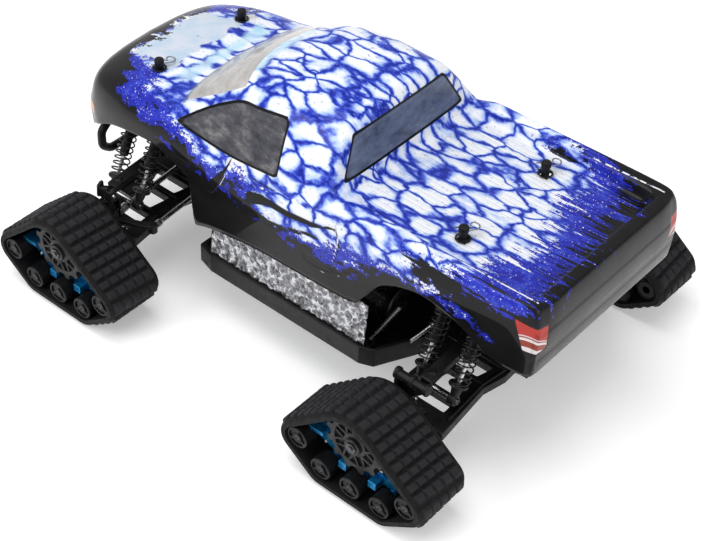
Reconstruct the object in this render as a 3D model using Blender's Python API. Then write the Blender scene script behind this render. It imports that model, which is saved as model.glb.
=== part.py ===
"""A 1/10-scale radio-controlled monster truck whose wheels are replaced by four triangular snow tracks.

Frame: +X is forward, +Y is the truck's left, +Z is up. The origin is on the ground, at the centre
of the truck's bounding box. Lengths here are in millimetres and MM turns them into metres.
Each corner's pieces are described for the truck's left side and mirrored for its right side.
"""

import math

import bmesh
import bpy
from mathutils import Matrix, Vector

MM = 0.001

# Driving dimensions
AXLE_X = {"front": 145.6, "rear": -130.8}
AXLE_Z = 48.5
TRACK_INNER_Y = 114.0
TRACK_OUTER_Y = 161.3
TRACK_SHIFT = -3.0  # the rollers' centre lies behind the axle

# Belt: inner profile as circles (x from the unit's centre, z, radius), then the rubber's thickness
BELT_CIRCLES = (
    (3, 48.5, 24), (45.2, 30.7, 8.9), (24.8, 15.4, 8.8), (-24.8, 15.4, 8.8), (-45.2, 30.7, 8.9),
)
BELT_EDGE = 3.1
BELT_LUG = 6.66
BELT_SHOULDER = 5.0
BELT_STEPS = 36

ROLLER_PLACES = ((45.2, 30.7), (24.8, 15.4), (0, 15.4), (-24.8, 15.4), (-45.2, 30.7))
ROLLER_RADIUS = 8.4
ROLLER_OUTER = (148.0, 159.6)
ROLLER_INNER = (115.6, 127.2)
ROLLER_PIN_RADIUS = 2.0
ROLLER_RAIL = (136.6, 139.6)
FRAME_PLATES = ((132.0, 134.6), (141.6, 144.2))
PLATE_OUTLINE = (  # (x, z)
    (-20, 18.6), (-43.5, 27.5), (-43.5, 34.5), (-9, 60), (9, 60), (43.5, 34.5), (43.5, 27.5), (20, 18.6),
)
PLATE_WINDOW = ((15, 27), (30, 27), (31, 36), (20, 46))
FRAME_BORE = 7.2
SLEEVE_RADIUS = 11.5

SPROCKET_RADIUS = 23.2
SPROCKET_ROOT = 19.6
SPROCKET_TEETH = 12
SPROCKET_DISCS = ((118.0, 127.6), (147.4, 152.4))
SPROCKET_TUBE = 6.4
AXLE_ENDS = (111.2, 156.0)

# Suspension, left side, (y, z)
LOWER_INNER = (26.0, 47.0)
LOWER_OUTER = (100.0, 40.0)
UPPER_INNER = (26.0, 81.5)
UPPER_OUTER = (100.0, 74.5)
ARM_SHIFT = {"front": 0.0, "rear": -7.0}
ARM_HALF = 28.0
ARM_FORK = 13.0  # half the gap that the hub carrier's foot sits in
LINK_SHIFT = {"front": 0.0, "rear": -13.0}  # the upper arm passes between the two springs
LINK_HALF = 4.4
KINGPIN_Y = 103.0
KNUCKLE_HALF = 5.2
CARRIER_HALF = 7.5
SHOCK_TOP = (58.0, 118.0)
SHOCK_EYE = (86.0, 58.5)
SHOCK_OFFSETS = {"front": (12.5, -12.5), "rear": (1.0, -27.0)}
SHOCK_BODY_LENGTH = 37.5
SHOCK_RADIUS = 6.3
SHOCK_BORE = 2.4
SHOCK_BORE_TOP = 9.0
ROD_RADIUS = 1.5
ROD_TOP = 24.6
SHAFT_INNER = (22.5, 56.0)
SHAFT_OUTER = (93.0, 49.4)

# Steering
STEER_X = 114.6
TIE_INNER = (22.0, 55.5)
TIE_OUTER = (91.0, 49.0)

# Chassis
FLOOR_Z = (37.5, 41.0)
TUB_TOP = 53.0
TUB_LEFT = ((74, 82), (60, 86), (-78, 86), (-88, 82), (-106, 46))  # left half of its outline, (x, y)
TUB_LEFT_INSIDE = ((70, 78.5), (59, 82.5), (-77, 82.5), (-85.5, 80), (-102.8, 45))
SPINE_HALF = 21.0
GEARBOX_HALF = 21.0
SHAFT_Z = 46.5
SPINE_X = (-172.0, 181.0)

POSTS = {"front": (148.8, 42.5, 156.0), "rear": (-125.4, 44.5, 160.0)}
POST_RADIUS = 3.0
POST_HOLE = 4.2

SHELL_WALL = 2.0

# Body shell: rows from nose to tail. Each row holds the left half of one section, from the middle
# of the roof, hood or bed out over its edge and down the side to the hem, as (x, y, z).
SHELL_ROWS = (
    ((208, 0, 86), (207.5, 22, 86), (206.5, 36, 86), (204.5, 47, 86),
     (202, 55, 86), (200, 60, 86), (197, 64, 87)),
    ((211.2, 0, 106), (210.4, 22, 106), (209.2, 37, 106), (207, 49, 106),
     (204, 58, 105), (201, 64, 103), (195, 68, 91)),
    ((209, 0, 127), (208, 22, 127), (206.5, 38, 126.5), (203, 52, 125.5),
     (200, 61, 121), (197, 67, 111), (190, 71, 95)),
    ((203, 0, 135), (202, 22, 135), (200, 40, 134.5), (196, 57, 132.5),
     (192, 67, 126), (188, 72, 112), (182, 74.5, 100)),
    ((182, 0, 143.5), (181, 22, 143.5), (179, 42, 142.5), (176, 62, 139.5),
     (173, 72, 132.5), (170, 77, 120), (166, 78, 110)),
    ((152, 0, 149), (152, 22, 149), (151, 42, 148), (150, 64, 145),
     (148, 75, 138), (146, 80, 128), (144, 81, 117)),
    ((126, 0, 151.5), (125, 22, 151.5), (123, 44, 151), (119, 64, 148.5),
     (119, 77, 141), (118, 82, 130), (118, 82.5, 121)),
    ((118, 0, 152), (116.5, 22, 152), (114, 44, 152), (109, 62, 151),
     (105, 77, 143.5), (102, 82.5, 130), (100, 83, 116)),
    ((88, 0, 174), (87, 20, 173.5), (85, 38, 171.5), (81, 54, 167),
     (82, 77, 144), (82, 83.5, 124), (82, 84, 109)),
    ((58, 0, 191.5), (57, 19, 191), (55, 36, 189), (51, 49, 184.5),
     (58, 77, 144), (69, 84.5, 120), (75, 84.5, 72)),
    ((38, 0, 196.5), (38, 19, 196), (37, 37, 194), (35, 51, 188.5),
     (40, 77.5, 144.5), (48, 85, 118), (62, 84.5, 76)),
    ((5, 0, 198.5), (5, 20, 198), (5, 39, 196), (5, 53, 190),
     (5, 78.5, 146), (5, 85.5, 117), (8, 84.5, 83.5)),
    ((-25, 0, 196.5), (-25, 20, 196), (-25, 39, 194), (-26, 53, 189),
     (-26, 79, 148), (-26, 85.5, 118), (-30, 84.2, 84.5)),
    ((-34, 0, 190), (-34, 20, 189.5), (-34, 39, 188), (-34, 52.5, 185.5),
     (-36, 79.5, 149), (-40, 85, 119), (-48, 84, 85)),
    ((-42, 0, 161), (-42, 24, 161), (-42, 46, 160), (-42, 61, 158.5),
     (-44, 80.5, 151), (-50, 84.5, 120), (-60, 83.8, 85.5)),
    ((-47, 0, 153), (-47, 40, 153), (-47, 62, 153.5), (-49, 73, 156.5),
     (-52, 81, 152.5), (-58, 84.5, 121), (-70, 83.5, 87)),
    ((-62, 0, 151.5), (-62, 62, 151), (-62, 68.5, 158), (-62, 76, 159),
     (-63, 81.5, 152.5), (-68, 84.5, 124), (-79, 83.5, 98)),
    ((-92, 0, 151), (-92, 65, 150.5), (-92, 69.5, 158), (-92, 77, 159),
     (-92, 82, 152), (-93, 84.8, 134), (-94, 83.5, 117)),
    ((-126, 0, 150.8), (-126, 65.5, 150.3), (-126, 69.5, 158.5), (-126, 77.2, 159.6),
     (-126, 82, 152.5), (-126, 84.5, 139), (-126, 83.5, 127.5)),
    ((-160, 0, 151), (-160, 65, 150.5), (-160, 69, 159.3), (-160, 77, 160.4),
     (-159, 81.5, 153), (-157, 83.8, 136), (-156, 82.5, 120)),
    ((-187, 0, 151.3), (-187, 63, 150.8), (-188, 68, 160), (-188, 76.5, 161),
     (-185, 80.7, 153), (-181, 82, 131), (-177, 81.5, 107.5)),
    ((-195, 0, 152.5), (-195, 60, 152.5), (-196, 67, 160.3), (-197, 76, 161.2),
     (-196, 80, 153), (-195, 81, 130), (-193, 80.5, 106)),
    ((-199, 0, 159.5), (-199, 57, 159.5), (-201, 66, 160.6), (-202, 75, 161),
     (-202, 79.2, 153), (-202, 80, 130), (-200, 79.8, 106)),
    ((-207.5, 0, 160), (-207.5, 54, 160), (-207, 65, 160), (-206, 73, 159.3),
     (-206.5, 77.8, 152), (-207, 78.8, 130), (-205, 78.8, 106.5)),
    ((-211.2, 0, 136), (-211.2, 54, 136), (-211, 64, 136), (-210.5, 71.5, 136),
     (-210, 76.3, 134), (-209.5, 77.6, 124), (-208, 77.6, 107.5)),
    ((-209, 0, 108), (-209, 54, 108), (-209, 63, 108), (-209, 69.5, 108),
     (-208.8, 73.5, 108), (-208.6, 75.5, 108), (-208.4, 76.5, 108)),
)

COLOURS = {  # name: (red, green, blue), roughness, metallic
    "shell_paint": ((0.10, 0.22, 0.80), 0.15, 0.0),
    "black_plastic": ((0.02, 0.02, 0.022), 0.45, 0.0),
    "black_rubber": ((0.025, 0.025, 0.027), 0.75, 0.0),
    "blue_anodised": ((0.02, 0.30, 0.62), 0.30, 0.9),
    "silver_metal": ((0.62, 0.63, 0.65), 0.30, 1.0),
    "silver_film": ((0.62, 0.64, 0.66), 0.35, 0.8),
    "battery_wrap": ((0.55, 0.06, 0.05), 0.40, 0.0),
    "dark_metal": ((0.09, 0.09, 0.10), 0.35, 0.8),
}


def clear_scene():
    for obj in list(bpy.data.objects):
        bpy.data.objects.remove(obj)


def material(name):
    found = bpy.data.materials.get(name)
    if found:
        return found
    colour, roughness, metallic = COLOURS[name]
    made = bpy.data.materials.new(name)
    made.use_nodes = True
    shader = made.node_tree.nodes["Principled BSDF"]
    shader.inputs["Base Color"].default_value = (*colour, 1.0)
    shader.inputs["Roughness"].default_value = roughness
    shader.inputs["Metallic"].default_value = metallic
    return made


# Shapes are (points, faces) in millimetres.


def prism(outline, low, high, axis="z"):
    """The outline, given anticlockwise in the axis's own plane, extruded from low to high along the axis."""

    def place(a, b, height):
        return {"x": (height, a, b), "y": (b, height, a), "z": (a, b, height)}[axis]

    count = len(outline)
    points = [place(a, b, low) for a, b in outline] + [place(a, b, high) for a, b in outline]
    faces = [tuple(reversed(range(count))), tuple(range(count, 2 * count))]
    for i in range(count):
        j = (i + 1) % count
        faces.append((i, j, j + count, i + count))
    return points, faces


def both_sides(left):
    """The left half of an outline, as (x, y) points, and its mirror image about y = 0."""
    return [*left, *[(x, -y) for x, y in reversed(left)]]


def block(low, high):
    outline = ((low[0], low[1]), (high[0], low[1]), (high[0], high[1]), (low[0], high[1]))
    return prism(outline, low[2], high[2])


def round_outline(centre, radius, sides, phase=0.0):
    turn = 2 * math.pi / sides
    return [
        (centre[0] + radius * math.cos(phase + turn * i), centre[1] + radius * math.sin(phase + turn * i))
        for i in range(sides)
    ]


def bar(start, end, radius, sides=8, end_radius=None):
    """A round bar from start to end, which may taper."""
    start, end = Vector(start), Vector(end)
    along = (end - start).normalized()
    across = along.orthogonal().normalized()
    other = along.cross(across)
    radii = (radius, radius if end_radius is None else end_radius)
    points = []
    for middle, size in zip((start, end), radii):
        for a, b in round_outline((0, 0), size, sides, math.pi / sides):
            points.append(tuple(middle + across * a + other * b))
    faces = [tuple(reversed(range(sides))), tuple(range(sides, 2 * sides))]
    for i in range(sides):
        j = (i + 1) % sides
        faces.append((i, j, j + sides, i + sides))
    return points, faces


def turned(profile, start, direction, sides):
    """The profile, (distance along, radius) points from end to end, turned about a line from start.

    A first or last radius of 0 closes that end. A profile that ends where it began makes a ring.
    """
    start = Vector(start)
    along = Vector(direction).normalized()
    across = along.orthogonal().normalized()
    other = along.cross(across)
    ring = profile[0] == profile[-1]
    steps = profile[:-1] if ring else profile
    points, rows = [], []
    for distance, radius in steps:
        middle = start + along * distance
        if radius == 0:
            rows.append([len(points)] * sides)
            points.append(tuple(middle))
            continue
        rows.append(list(range(len(points), len(points) + sides)))
        for a, b in round_outline((0, 0), radius, sides):
            points.append(tuple(middle + across * a + other * b))
    faces = []
    pairs = list(zip(rows, rows[1:])) + ([(rows[-1], rows[0])] if ring else [])
    for here, there in pairs:
        for i in range(sides):
            j = (i + 1) % sides
            face = (here[i], here[j], there[j], there[i])
            faces.append(tuple(dict.fromkeys(face)))
    return points, faces


def joined(*shapes):
    """Several shapes that don't touch, or that a union will resolve, as one."""
    points, faces = [], []
    for more_points, more_faces in shapes:
        start = len(points)
        points += more_points
        faces += [tuple(start + i for i in face) for face in more_faces]
    return points, faces


def moved(shape, matrix):
    points, faces = shape
    return [tuple(matrix @ Vector(point)) for point in points], faces


def tilt_between(inner, outer):
    """The matrix that lays a shape drawn along +Y onto the line from inner to outer, both (y, z)."""
    angle = math.atan2(outer[1] - inner[1], outer[0] - inner[0])
    return Matrix.Translation((0, inner[0], inner[1])) @ Matrix.Rotation(angle, 4, "X")


def mesh_object(name, shape, side, pivot, colour):
    """A mesh with its origin at the pivot, mirrored to the truck's right side where side is -1."""
    points, faces = shape
    origin = Vector((pivot[0], side * pivot[1], pivot[2]))
    corners = [(Vector((x, side * y, z)) - origin) * MM for x, y, z in points]
    mesh = bpy.data.meshes.new(name)
    mesh.from_pydata(corners, [], faces)
    mesh.materials.append(material(colour))
    work = bmesh.new()
    work.from_mesh(mesh)
    bmesh.ops.recalc_face_normals(work, faces=work.faces)
    work.to_mesh(mesh)
    work.free()
    mesh.shade_smooth()
    mesh.set_sharp_from_angle(angle=math.radians(35))
    obj = bpy.data.objects.new(name, mesh)
    obj.location = origin * MM
    bpy.context.scene.collection.objects.link(obj)
    return obj


def use_tool(obj, operation, shape, side, colour):
    """Joins a shape to the object, or cuts it away, with a Boolean."""
    number = len(obj.modifiers)
    tool = mesh_object(f"tool_{obj.name}_{number}", shape, side, (0, 0, 0), colour)
    tool.hide_render = True
    tool.display_type = "WIRE"
    modifier = obj.modifiers.new(f"{operation.lower()}_{number}", "BOOLEAN")
    modifier.operation = operation
    modifier.object = tool


def make(name, shape, colour, side=1, pivot=(0, 0, 0), add=(), cut=(), add_last=()):
    """One sub-part: a shape, with others joined to it, cut from it and joined after the cuts."""
    obj = mesh_object(name, shape, side, pivot, colour)
    for operation, shapes in (("UNION", add), ("DIFFERENCE", cut), ("UNION", add_last)):
        for more in shapes:
            use_tool(obj, operation, more, side, colour)
    return obj


def belt_point(circles, turn, grow):
    """The point of the circles' taut outline whose outward normal has this angle, grown outwards."""
    normal = Vector((math.cos(turn), math.sin(turn)))
    x, z, radius = max(circles, key=lambda c: normal.dot(Vector(c[:2])) + c[2])
    return Vector((x, z)) + normal * (radius + grow)


def belt_shape(centre_x):
    """A rubber band: flat inside, with a raised tread between two sloping shoulders."""
    section = (
        (TRACK_INNER_Y, 0),
        (TRACK_OUTER_Y, 0),
        (TRACK_OUTER_Y, BELT_EDGE),
        (TRACK_OUTER_Y - BELT_SHOULDER, BELT_LUG),
        (TRACK_INNER_Y + BELT_SHOULDER, BELT_LUG),
        (TRACK_INNER_Y, BELT_EDGE),
    )
    points = []
    for step in range(BELT_STEPS):
        turn = 2 * math.pi * (step + 0.5) / BELT_STEPS
        for y, grow in section:
            at = belt_point(BELT_CIRCLES, turn, grow)
            points.append((centre_x + at.x, y, at.y))
    faces = []
    size = len(section)
    for step in range(BELT_STEPS):
        here, there = step * size, (step + 1) % BELT_STEPS * size
        for i in range(size):
            j = (i + 1) % size
            faces.append((here + i, here + j, there + j, there + i))
    return points, faces


def track_unit(corner, side, axle_x):
    centre_x = axle_x + TRACK_SHIFT
    pivot = (axle_x, KINGPIN_Y, AXLE_Z)
    make(f"{corner}_track_belt", belt_shape(centre_x), "black_rubber", side, pivot)

    pins = []
    for x, z in ROLLER_PLACES:
        profile = (
            (ROLLER_INNER[0], 0),
            (ROLLER_INNER[0], ROLLER_RADIUS),
            (ROLLER_INNER[1], ROLLER_RADIUS),
            (ROLLER_INNER[1], ROLLER_PIN_RADIUS),
            (ROLLER_OUTER[0], ROLLER_PIN_RADIUS),
            (ROLLER_OUTER[0], ROLLER_RADIUS),
            (ROLLER_OUTER[1], ROLLER_RADIUS),
            (ROLLER_OUTER[1], 0),
        )
        pins.append(turned(profile, (centre_x + x, 0, z), (0, 1, 0), 8))
    low, high = ROLLER_RAIL
    rail_outline = [(z + 3.2, centre_x + x) for x, z in reversed(ROLLER_PLACES)]
    rail_outline += [(z - 3.2, centre_x + x) for x, z in ROLLER_PLACES]
    rail = prism(rail_outline, low, high, "y")
    make(f"{corner}_track_rollers", rail, "black_plastic", side, pivot, add=pins)

    inner, outer = FRAME_PLATES[0][0], FRAME_PLATES[1][1]
    width = outer - inner
    sleeve = ((0, FRAME_BORE), (width, FRAME_BORE), (width, SLEEVE_RADIUS), (0, SLEEVE_RADIUS), (0, FRAME_BORE))
    hub = turned(sleeve, (axle_x, inner, AXLE_Z), (0, 1, 0), 16)
    plates = [prism([(z, centre_x + x) for x, z in PLATE_OUTLINE], *place, "y") for place in FRAME_PLATES]
    through = (inner - 7, outer + 6)
    bore = bar((axle_x, through[0], AXLE_Z), (axle_x, through[1], AXLE_Z), SLEEVE_RADIUS - 0.5, 16)
    pin_holes = [
        bar((centre_x + x, through[0], z), (centre_x + x, through[1], z), ROLLER_PIN_RADIUS + 0.5, 6)
        for x, z in ROLLER_PLACES
    ]
    windows = []
    for sign in (1, -1):
        corners = [(z, centre_x + sign * x) for x, z in PLATE_WINDOW]
        windows.append(prism(corners[::sign], *through, "y"))
    make(
        f"{corner}_track_frame", joined(*plates), "blue_anodised", side, pivot,
        cut=[bore, *pin_holes, *windows], add_last=[hub],
    )

    teeth = []
    tooth = ((0, SPROCKET_ROOT), (0.35, SPROCKET_ROOT), (0.45, SPROCKET_RADIUS), (0.9, SPROCKET_RADIUS))
    for i in range(SPROCKET_TEETH):
        for part, radius in tooth:
            turn = 2 * math.pi * (i + part) / SPROCKET_TEETH
            teeth.append((AXLE_Z + radius * math.cos(turn), axle_x + radius * math.sin(turn)))
    discs = [prism(teeth, low, high, "y") for low, high in SPROCKET_DISCS]
    tube = bar((axle_x, AXLE_ENDS[0], AXLE_Z), (axle_x, AXLE_ENDS[1], AXLE_Z), SPROCKET_TUBE, 12)
    make(f"{corner}_sprocket", tube, "black_plastic", side, (axle_x, 0, AXLE_Z), add=discs)


def lower_arm(corner, end, side, axle_x):
    shift = ARM_SHIFT[end]
    middle = axle_x + shift
    length = math.dist(LOWER_INNER, LOWER_OUTER)
    flat = (
        (-ARM_HALF, -3), (ARM_HALF, -3), (ARM_HALF, 12), (ARM_HALF - 5, 30), (ARM_HALF - 2, length + 3),
        (ARM_FORK - shift, length + 3), (ARM_FORK - shift, length - 6), (-ARM_FORK - shift, length - 6),
        (-ARM_FORK - shift, length + 3), (-ARM_HALF + 2, length + 3),
        (-ARM_HALF + 5, 30), (-ARM_HALF, 12),
    )
    place = Matrix.Translation((middle, 0, 0)) @ tilt_between(LOWER_INNER, LOWER_OUTER)
    body = moved(prism(flat, -3.5, 3.5), place)
    windows = (
        ((-17, 12), (17, 12), (13, 24), (-13, 24)),
        ((-14, 30), (7, 30), (11, 46), (-10, 46)),
        ((-15, 52), (10, 52), (10, 62), (-15, 62)),
    )
    cuts = [moved(prism(window, -6, 6), place) for window in windows]
    pivot = (middle, *LOWER_INNER)
    make(f"{corner}_lower_arm", body, "black_plastic", side, pivot, cut=cuts)


def upper_arm(corner, end, side, axle_x):
    middle = axle_x + LINK_SHIFT[end]
    length = math.dist(UPPER_INNER, UPPER_OUTER)
    flat = (
        (-15, -3), (15, -3), (15, 6), (LINK_HALF, 34), (LINK_HALF, length - 1.5),
        (-LINK_HALF, length - 1.5), (-LINK_HALF, 34), (-15, 6),
    )
    place = Matrix.Translation((middle, 0, 0)) @ tilt_between(UPPER_INNER, UPPER_OUTER)
    window = moved(prism(((-9, 6), (9, 6), (2, 24), (-2, 24)), -5, 5), place)
    body = moved(prism(flat, -2.6, 2.6), place)
    make(f"{corner}_upper_arm", body, "black_plastic", side, (middle, *UPPER_INNER), cut=[window])


def link_slot(end, axle_x):
    """The notch in a hub carrier that the upper arm's outer end moves in."""
    middle = axle_x + LINK_SHIFT[end]
    return block((middle - LINK_HALF - 1, 94, 71), (middle + LINK_HALF + 1, 100.6, 78.4))


def hub_carrier(corner, side, axle_x):
    """A rear hub carrier: an upright between the two arms, with the axle's bearing block."""
    upright = (
        (96.6, 34.5), (103.6, 34.5), (110.2, 41), (110.2, 56), (104, 63), (104, 80), (97.5, 80), (97.5, 63),
        (96.6, 56),
    )
    body = prism(upright, axle_x - CARRIER_HALF, axle_x + CARRIER_HALF, "x")
    foot = block((axle_x - 12, 97.5, 36), (axle_x + 12, 103, 44))
    head = block((axle_x - 21, 97.5, 68.5), (axle_x + 7, 104, 80))
    cup = bar((axle_x, 95, AXLE_Z), (axle_x, 99, AXLE_Z), 5.5, 12)
    make(
        f"{corner}_hub_carrier", body, "black_plastic", side, (axle_x, *LOWER_OUTER),
        add=[foot, head], cut=[link_slot("rear", axle_x), cup],
    )


def caster_block(corner, side, axle_x):
    """A front C-shaped carrier, open outwards, that holds the steering knuckle between its two ears."""
    wall = 98.9  # the knuckle turns clear of it
    outline = (
        (96.6, 34.5), (107, 34.5), (107, 39.6), (wall, 39.6), (wall, 67.6), (107, 67.6), (107, 80), (97.5, 80),
        (96.6, 67),
    )
    body = prism(outline, axle_x - CARRIER_HALF, axle_x + CARRIER_HALF, "x")
    foot = block((axle_x - 12, 97.5, 35), (axle_x + 12, 103, 39.6))
    eye = bar((axle_x, 90, AXLE_Z), (axle_x, 106, AXLE_Z), 6.2, 12)
    make(
        f"{corner}_caster_block", body, "black_plastic", side, (axle_x, *LOWER_OUTER),
        add=[foot], cut=[link_slot("front", axle_x), eye],
    )


def knuckle(corner, side, axle_x):
    upright = ((101.2, 40.2), (106.6, 40.2), (110.4, 43), (110.4, 56), (106.6, 67), (101.2, 67))
    body = prism(upright, axle_x - KNUCKLE_HALF, axle_x + KNUCKLE_HALF, "x")
    root = axle_x - 4
    steering_arm = (
        (root, 105.2), (root, 110), (STEER_X - 1, 98), (STEER_X - 4, 94), (STEER_X, 91.5), (STEER_X + 4.5, 94),
    )
    arm = prism(steering_arm, 52.4, 56)
    cup = bar((axle_x, 99, AXLE_Z), (axle_x, 104, AXLE_Z), 3.8, 12)
    make(f"{corner}_knuckle", body, "black_plastic", side, (axle_x, KINGPIN_Y, AXLE_Z), add=[arm], cut=[cup])


def half_shaft(corner, side, axle_x):
    length = math.dist(SHAFT_INNER, SHAFT_OUTER)
    start = (axle_x, *SHAFT_INNER)
    direction = (0, SHAFT_OUTER[0] - SHAFT_INNER[0], SHAFT_OUTER[1] - SHAFT_INNER[1])
    profile = (
        (0, 0), (0, 4.2), (7, 4.2), (9, 2.2), (length - 9, 2.2), (length - 7, 3.4), (length, 3.4), (length, 0),
    )
    make(f"{corner}_half_shaft", turned(profile, start, direction, 8), "silver_metal", side, start)


def shock_pair(corner, end, side, axle_x):
    """Two oil-filled shock absorbers side by side on one top pin, and their two rods on one lower pin."""
    top, eye = Vector((0, *SHOCK_TOP)), Vector((0, *SHOCK_EYE))
    down = (eye - top).normalized()
    length = (eye - top).length
    places = [axle_x + offset for offset in SHOCK_OFFSETS[end]]
    bodies, rods = [], []
    for x in places:
        start = Vector((x, 0, 0)) + top
        tube = (
            (-4, 0), (-4, 4.2), (3, 4.2), (5, SHOCK_RADIUS), (SHOCK_BODY_LENGTH, SHOCK_RADIUS),
            (SHOCK_BODY_LENGTH, SHOCK_BORE), (SHOCK_BORE_TOP, SHOCK_BORE), (SHOCK_BORE_TOP, 0),
        )
        bodies.append(turned(tube, start, down, 10))
        seat = length - 12
        rod = (
            (ROD_TOP, 0), (ROD_TOP, ROD_RADIUS), (seat, ROD_RADIUS), (seat, 5.4), (seat + 2.5, 5.4),
            (seat + 6, 3.4), (length + 4, 3.4), (length + 4, 0),
        )
        rods.append(turned(rod, start, down, 8))
    reach = sorted(places)
    upper_pin = bar((reach[0] - 3, *SHOCK_TOP), (reach[1] + 3, *SHOCK_TOP), 2.0, 8)
    lower_pin = bar((reach[0] - 3, *SHOCK_EYE), (reach[1] + 3, *SHOCK_EYE), 2.0, 8)
    make(f"{corner}_shock_bodies", upper_pin, "black_plastic", side, (axle_x, *SHOCK_TOP), add=bodies)
    make(f"{corner}_shock_rods", lower_pin, "dark_metal", side, (axle_x, *SHOCK_EYE), add=rods)


def shock_tower(end):
    """A wide upright plate on the gearbox that carries the shocks' top pins and the body posts."""
    axle_x = AXLE_X[end]
    plate_x = axle_x + sum(SHOCK_OFFSETS[end]) / 2
    half = 2.5
    outline = (
        (-16, 86.5), (16, 86.5), (30, 100), (66, 108), (69, 114), (66, 123.5), (50, 126), (40, 120),
        (-40, 120), (-50, 126), (-66, 123.5), (-69, 114), (-66, 108), (-30, 100),
    )
    plate = prism(outline, plate_x - half, plate_x + half, "x")
    holes = []
    for sign in (1, -1):
        pin = (sign * SHOCK_TOP[0], SHOCK_TOP[1])
        holes.append(bar((plate_x - 6, *pin), (plate_x + 6, *pin), 2.6, 8))
    window = prism(((-24, 102), (24, 102), (30, 113), (-30, 113)), plate_x - 6, plate_x + 6, "x")
    post_x, post_y, post_top = POSTS[end]
    posts = []
    for sign in (1, -1):
        posts.append(bar((post_x, sign * post_y, 113), (post_x, sign * post_y, post_top), POST_RADIUS, 8))
        low = (min(post_x - 4, plate_x - 1), sign * post_y - 4, 114)
        high = (max(post_x + 4, plate_x + 1), sign * post_y + 4, 119)
        posts.append(block(low, high))
    make(f"{end}_shock_tower", plate, "black_plastic", add=posts, cut=[*holes, window])


def gearbox(end):
    axle_x = AXLE_X[end]
    low, high = axle_x - GEARBOX_HALF, axle_x + GEARBOX_HALF
    outline = ((low, 41.3), (high, 41.3), (high, 74), (high - 8, 86.2), (low + 8, 86.2), (low, 74))
    body = prism([(z, x) for x, z in outline][::-1], -18, 18, "y")
    shaft_side = low if end == "front" else high
    toward = -1 if end == "front" else 1
    nose = bar((shaft_side - toward, 0, SHAFT_Z), (shaft_side + toward * 3, 0, SHAFT_Z), 5.0, 10)
    holders = [block((x - 3, -21.5, 44), (x + 3, 21.5, 50)) for x in (low + 5, high - 5)]
    upper = [block((axle_x - 10, -21.5, 79), (axle_x + 10, 21.5, 84))]
    make(f"{end}_gearbox", body, "black_plastic", add=[nose, *holders, *upper])


def upright_loop(corners, x, radius, sides=6):
    """A round bar bent into a closed loop that stands across the truck, through (y, z) corners."""
    points = []
    count = len(corners)
    for i in range(count):
        before, here, after = (Vector(corners[(i + k) % count]) for k in (-1, 0, 1))
        along = ((here - before).normalized() + (after - here).normalized()).normalized()
        outward = Vector((along.y, -along.x))
        stretch = 1 / max(0.5, along.dot((after - here).normalized()))
        for across, forward in round_outline((0, 0), radius, sides, math.pi / sides):
            at = here + outward * across * stretch
            points.append((x + forward, at.x, at.y))
    faces = []
    for i in range(count):
        j = (i + 1) % count
        for k in range(sides):
            m = (k + 1) % sides
            faces.append((i * sides + k, i * sides + m, j * sides + m, j * sides + k))
    return points, faces


def front_bumper():
    """A flat loop of round bar ahead of the chassis, on two stays."""
    right_half = ((52, 57.5), (60, 64), (60, 77), (52, 83.5))
    corners = [*right_half, *[(-y, z) for y, z in reversed(right_half)]]
    loop = upright_loop(corners, 197, 3.3)
    stays = [bar((179, sign * 14, 44.2), (197, sign * 14, 57.5), 3.0, 8) for sign in (1, -1)]
    foot = block((170, -18, 41.3), (180.5, 18, 46))
    make("front_bumper", loop, "black_plastic", add=[*stays, foot])


def chassis():
    tub = prism(both_sides(TUB_LEFT)[::-1], FLOOR_Z[0], TUB_TOP)
    inside = prism(both_sides(TUB_LEFT_INSIDE)[::-1], FLOOR_Z[1], TUB_TOP + 5)
    spine = block((SPINE_X[0], -SPINE_HALF, FLOOR_Z[0]), (SPINE_X[1], SPINE_HALF, FLOOR_Z[1]))
    mouths = [
        block((60, -30, FLOOR_Z[1]), (90, 30, TUB_TOP + 5)),
        block((-120, -30, FLOOR_Z[1]), (-95, 30, TUB_TOP + 5)),
    ]
    make("chassis_tub", tub, "black_plastic", add=[spine], cut=[inside, *mouths])


def liner(side, name):
    """A thin crinkled strip that closes the gap between the tub's wall and the shell's hem."""
    outline = ((83.4, 53.4), (84.6, 53.4), (81.4, 88), (80.2, 88))
    make(name, prism(outline, -80, 62, "x"), "silver_film", side)


def inner_parts():
    make("battery_pack", block((-70, -72, 41.4), (62, -28, 66)), "battery_wrap")
    make("speed_control", block((8, 26, 41.4), (58, 62, 64)), "black_plastic")
    servo_ears = block((37, -22, 60), (69.5, -8, 62.5))
    make("steering_servo", block((42, -24, 41.4), (65, -6, 74)), "black_plastic", add=[servo_ears])
    can = turned(((0, 0), (0, 16), (2, 17.8), (50, 17.8), (53, 14), (53, 0)), (-78, 40, 60), (1, 0, 0), 14)
    boss = bar((-26, 40, 60), (-19, 40, 60), 2.4, 8)
    make("motor", can, "silver_metal", add=[boss])


def centre_shaft():
    """The drive shaft between the two gearboxes, with a thicker joint at each end."""
    start = AXLE_X["rear"] + GEARBOX_HALF + 4
    length = AXLE_X["front"] - GEARBOX_HALF - 4 - start
    profile = ((0, 0), (0, 4), (6, 4), (8, 2.4), (length - 12, 2.4), (length - 10, 4), (length, 4), (length, 0))
    at = (start, 0, SHAFT_Z)
    make("centre_shaft", turned(profile, at, (1, 0, 0), 8), "silver_metal", pivot=at)


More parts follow.
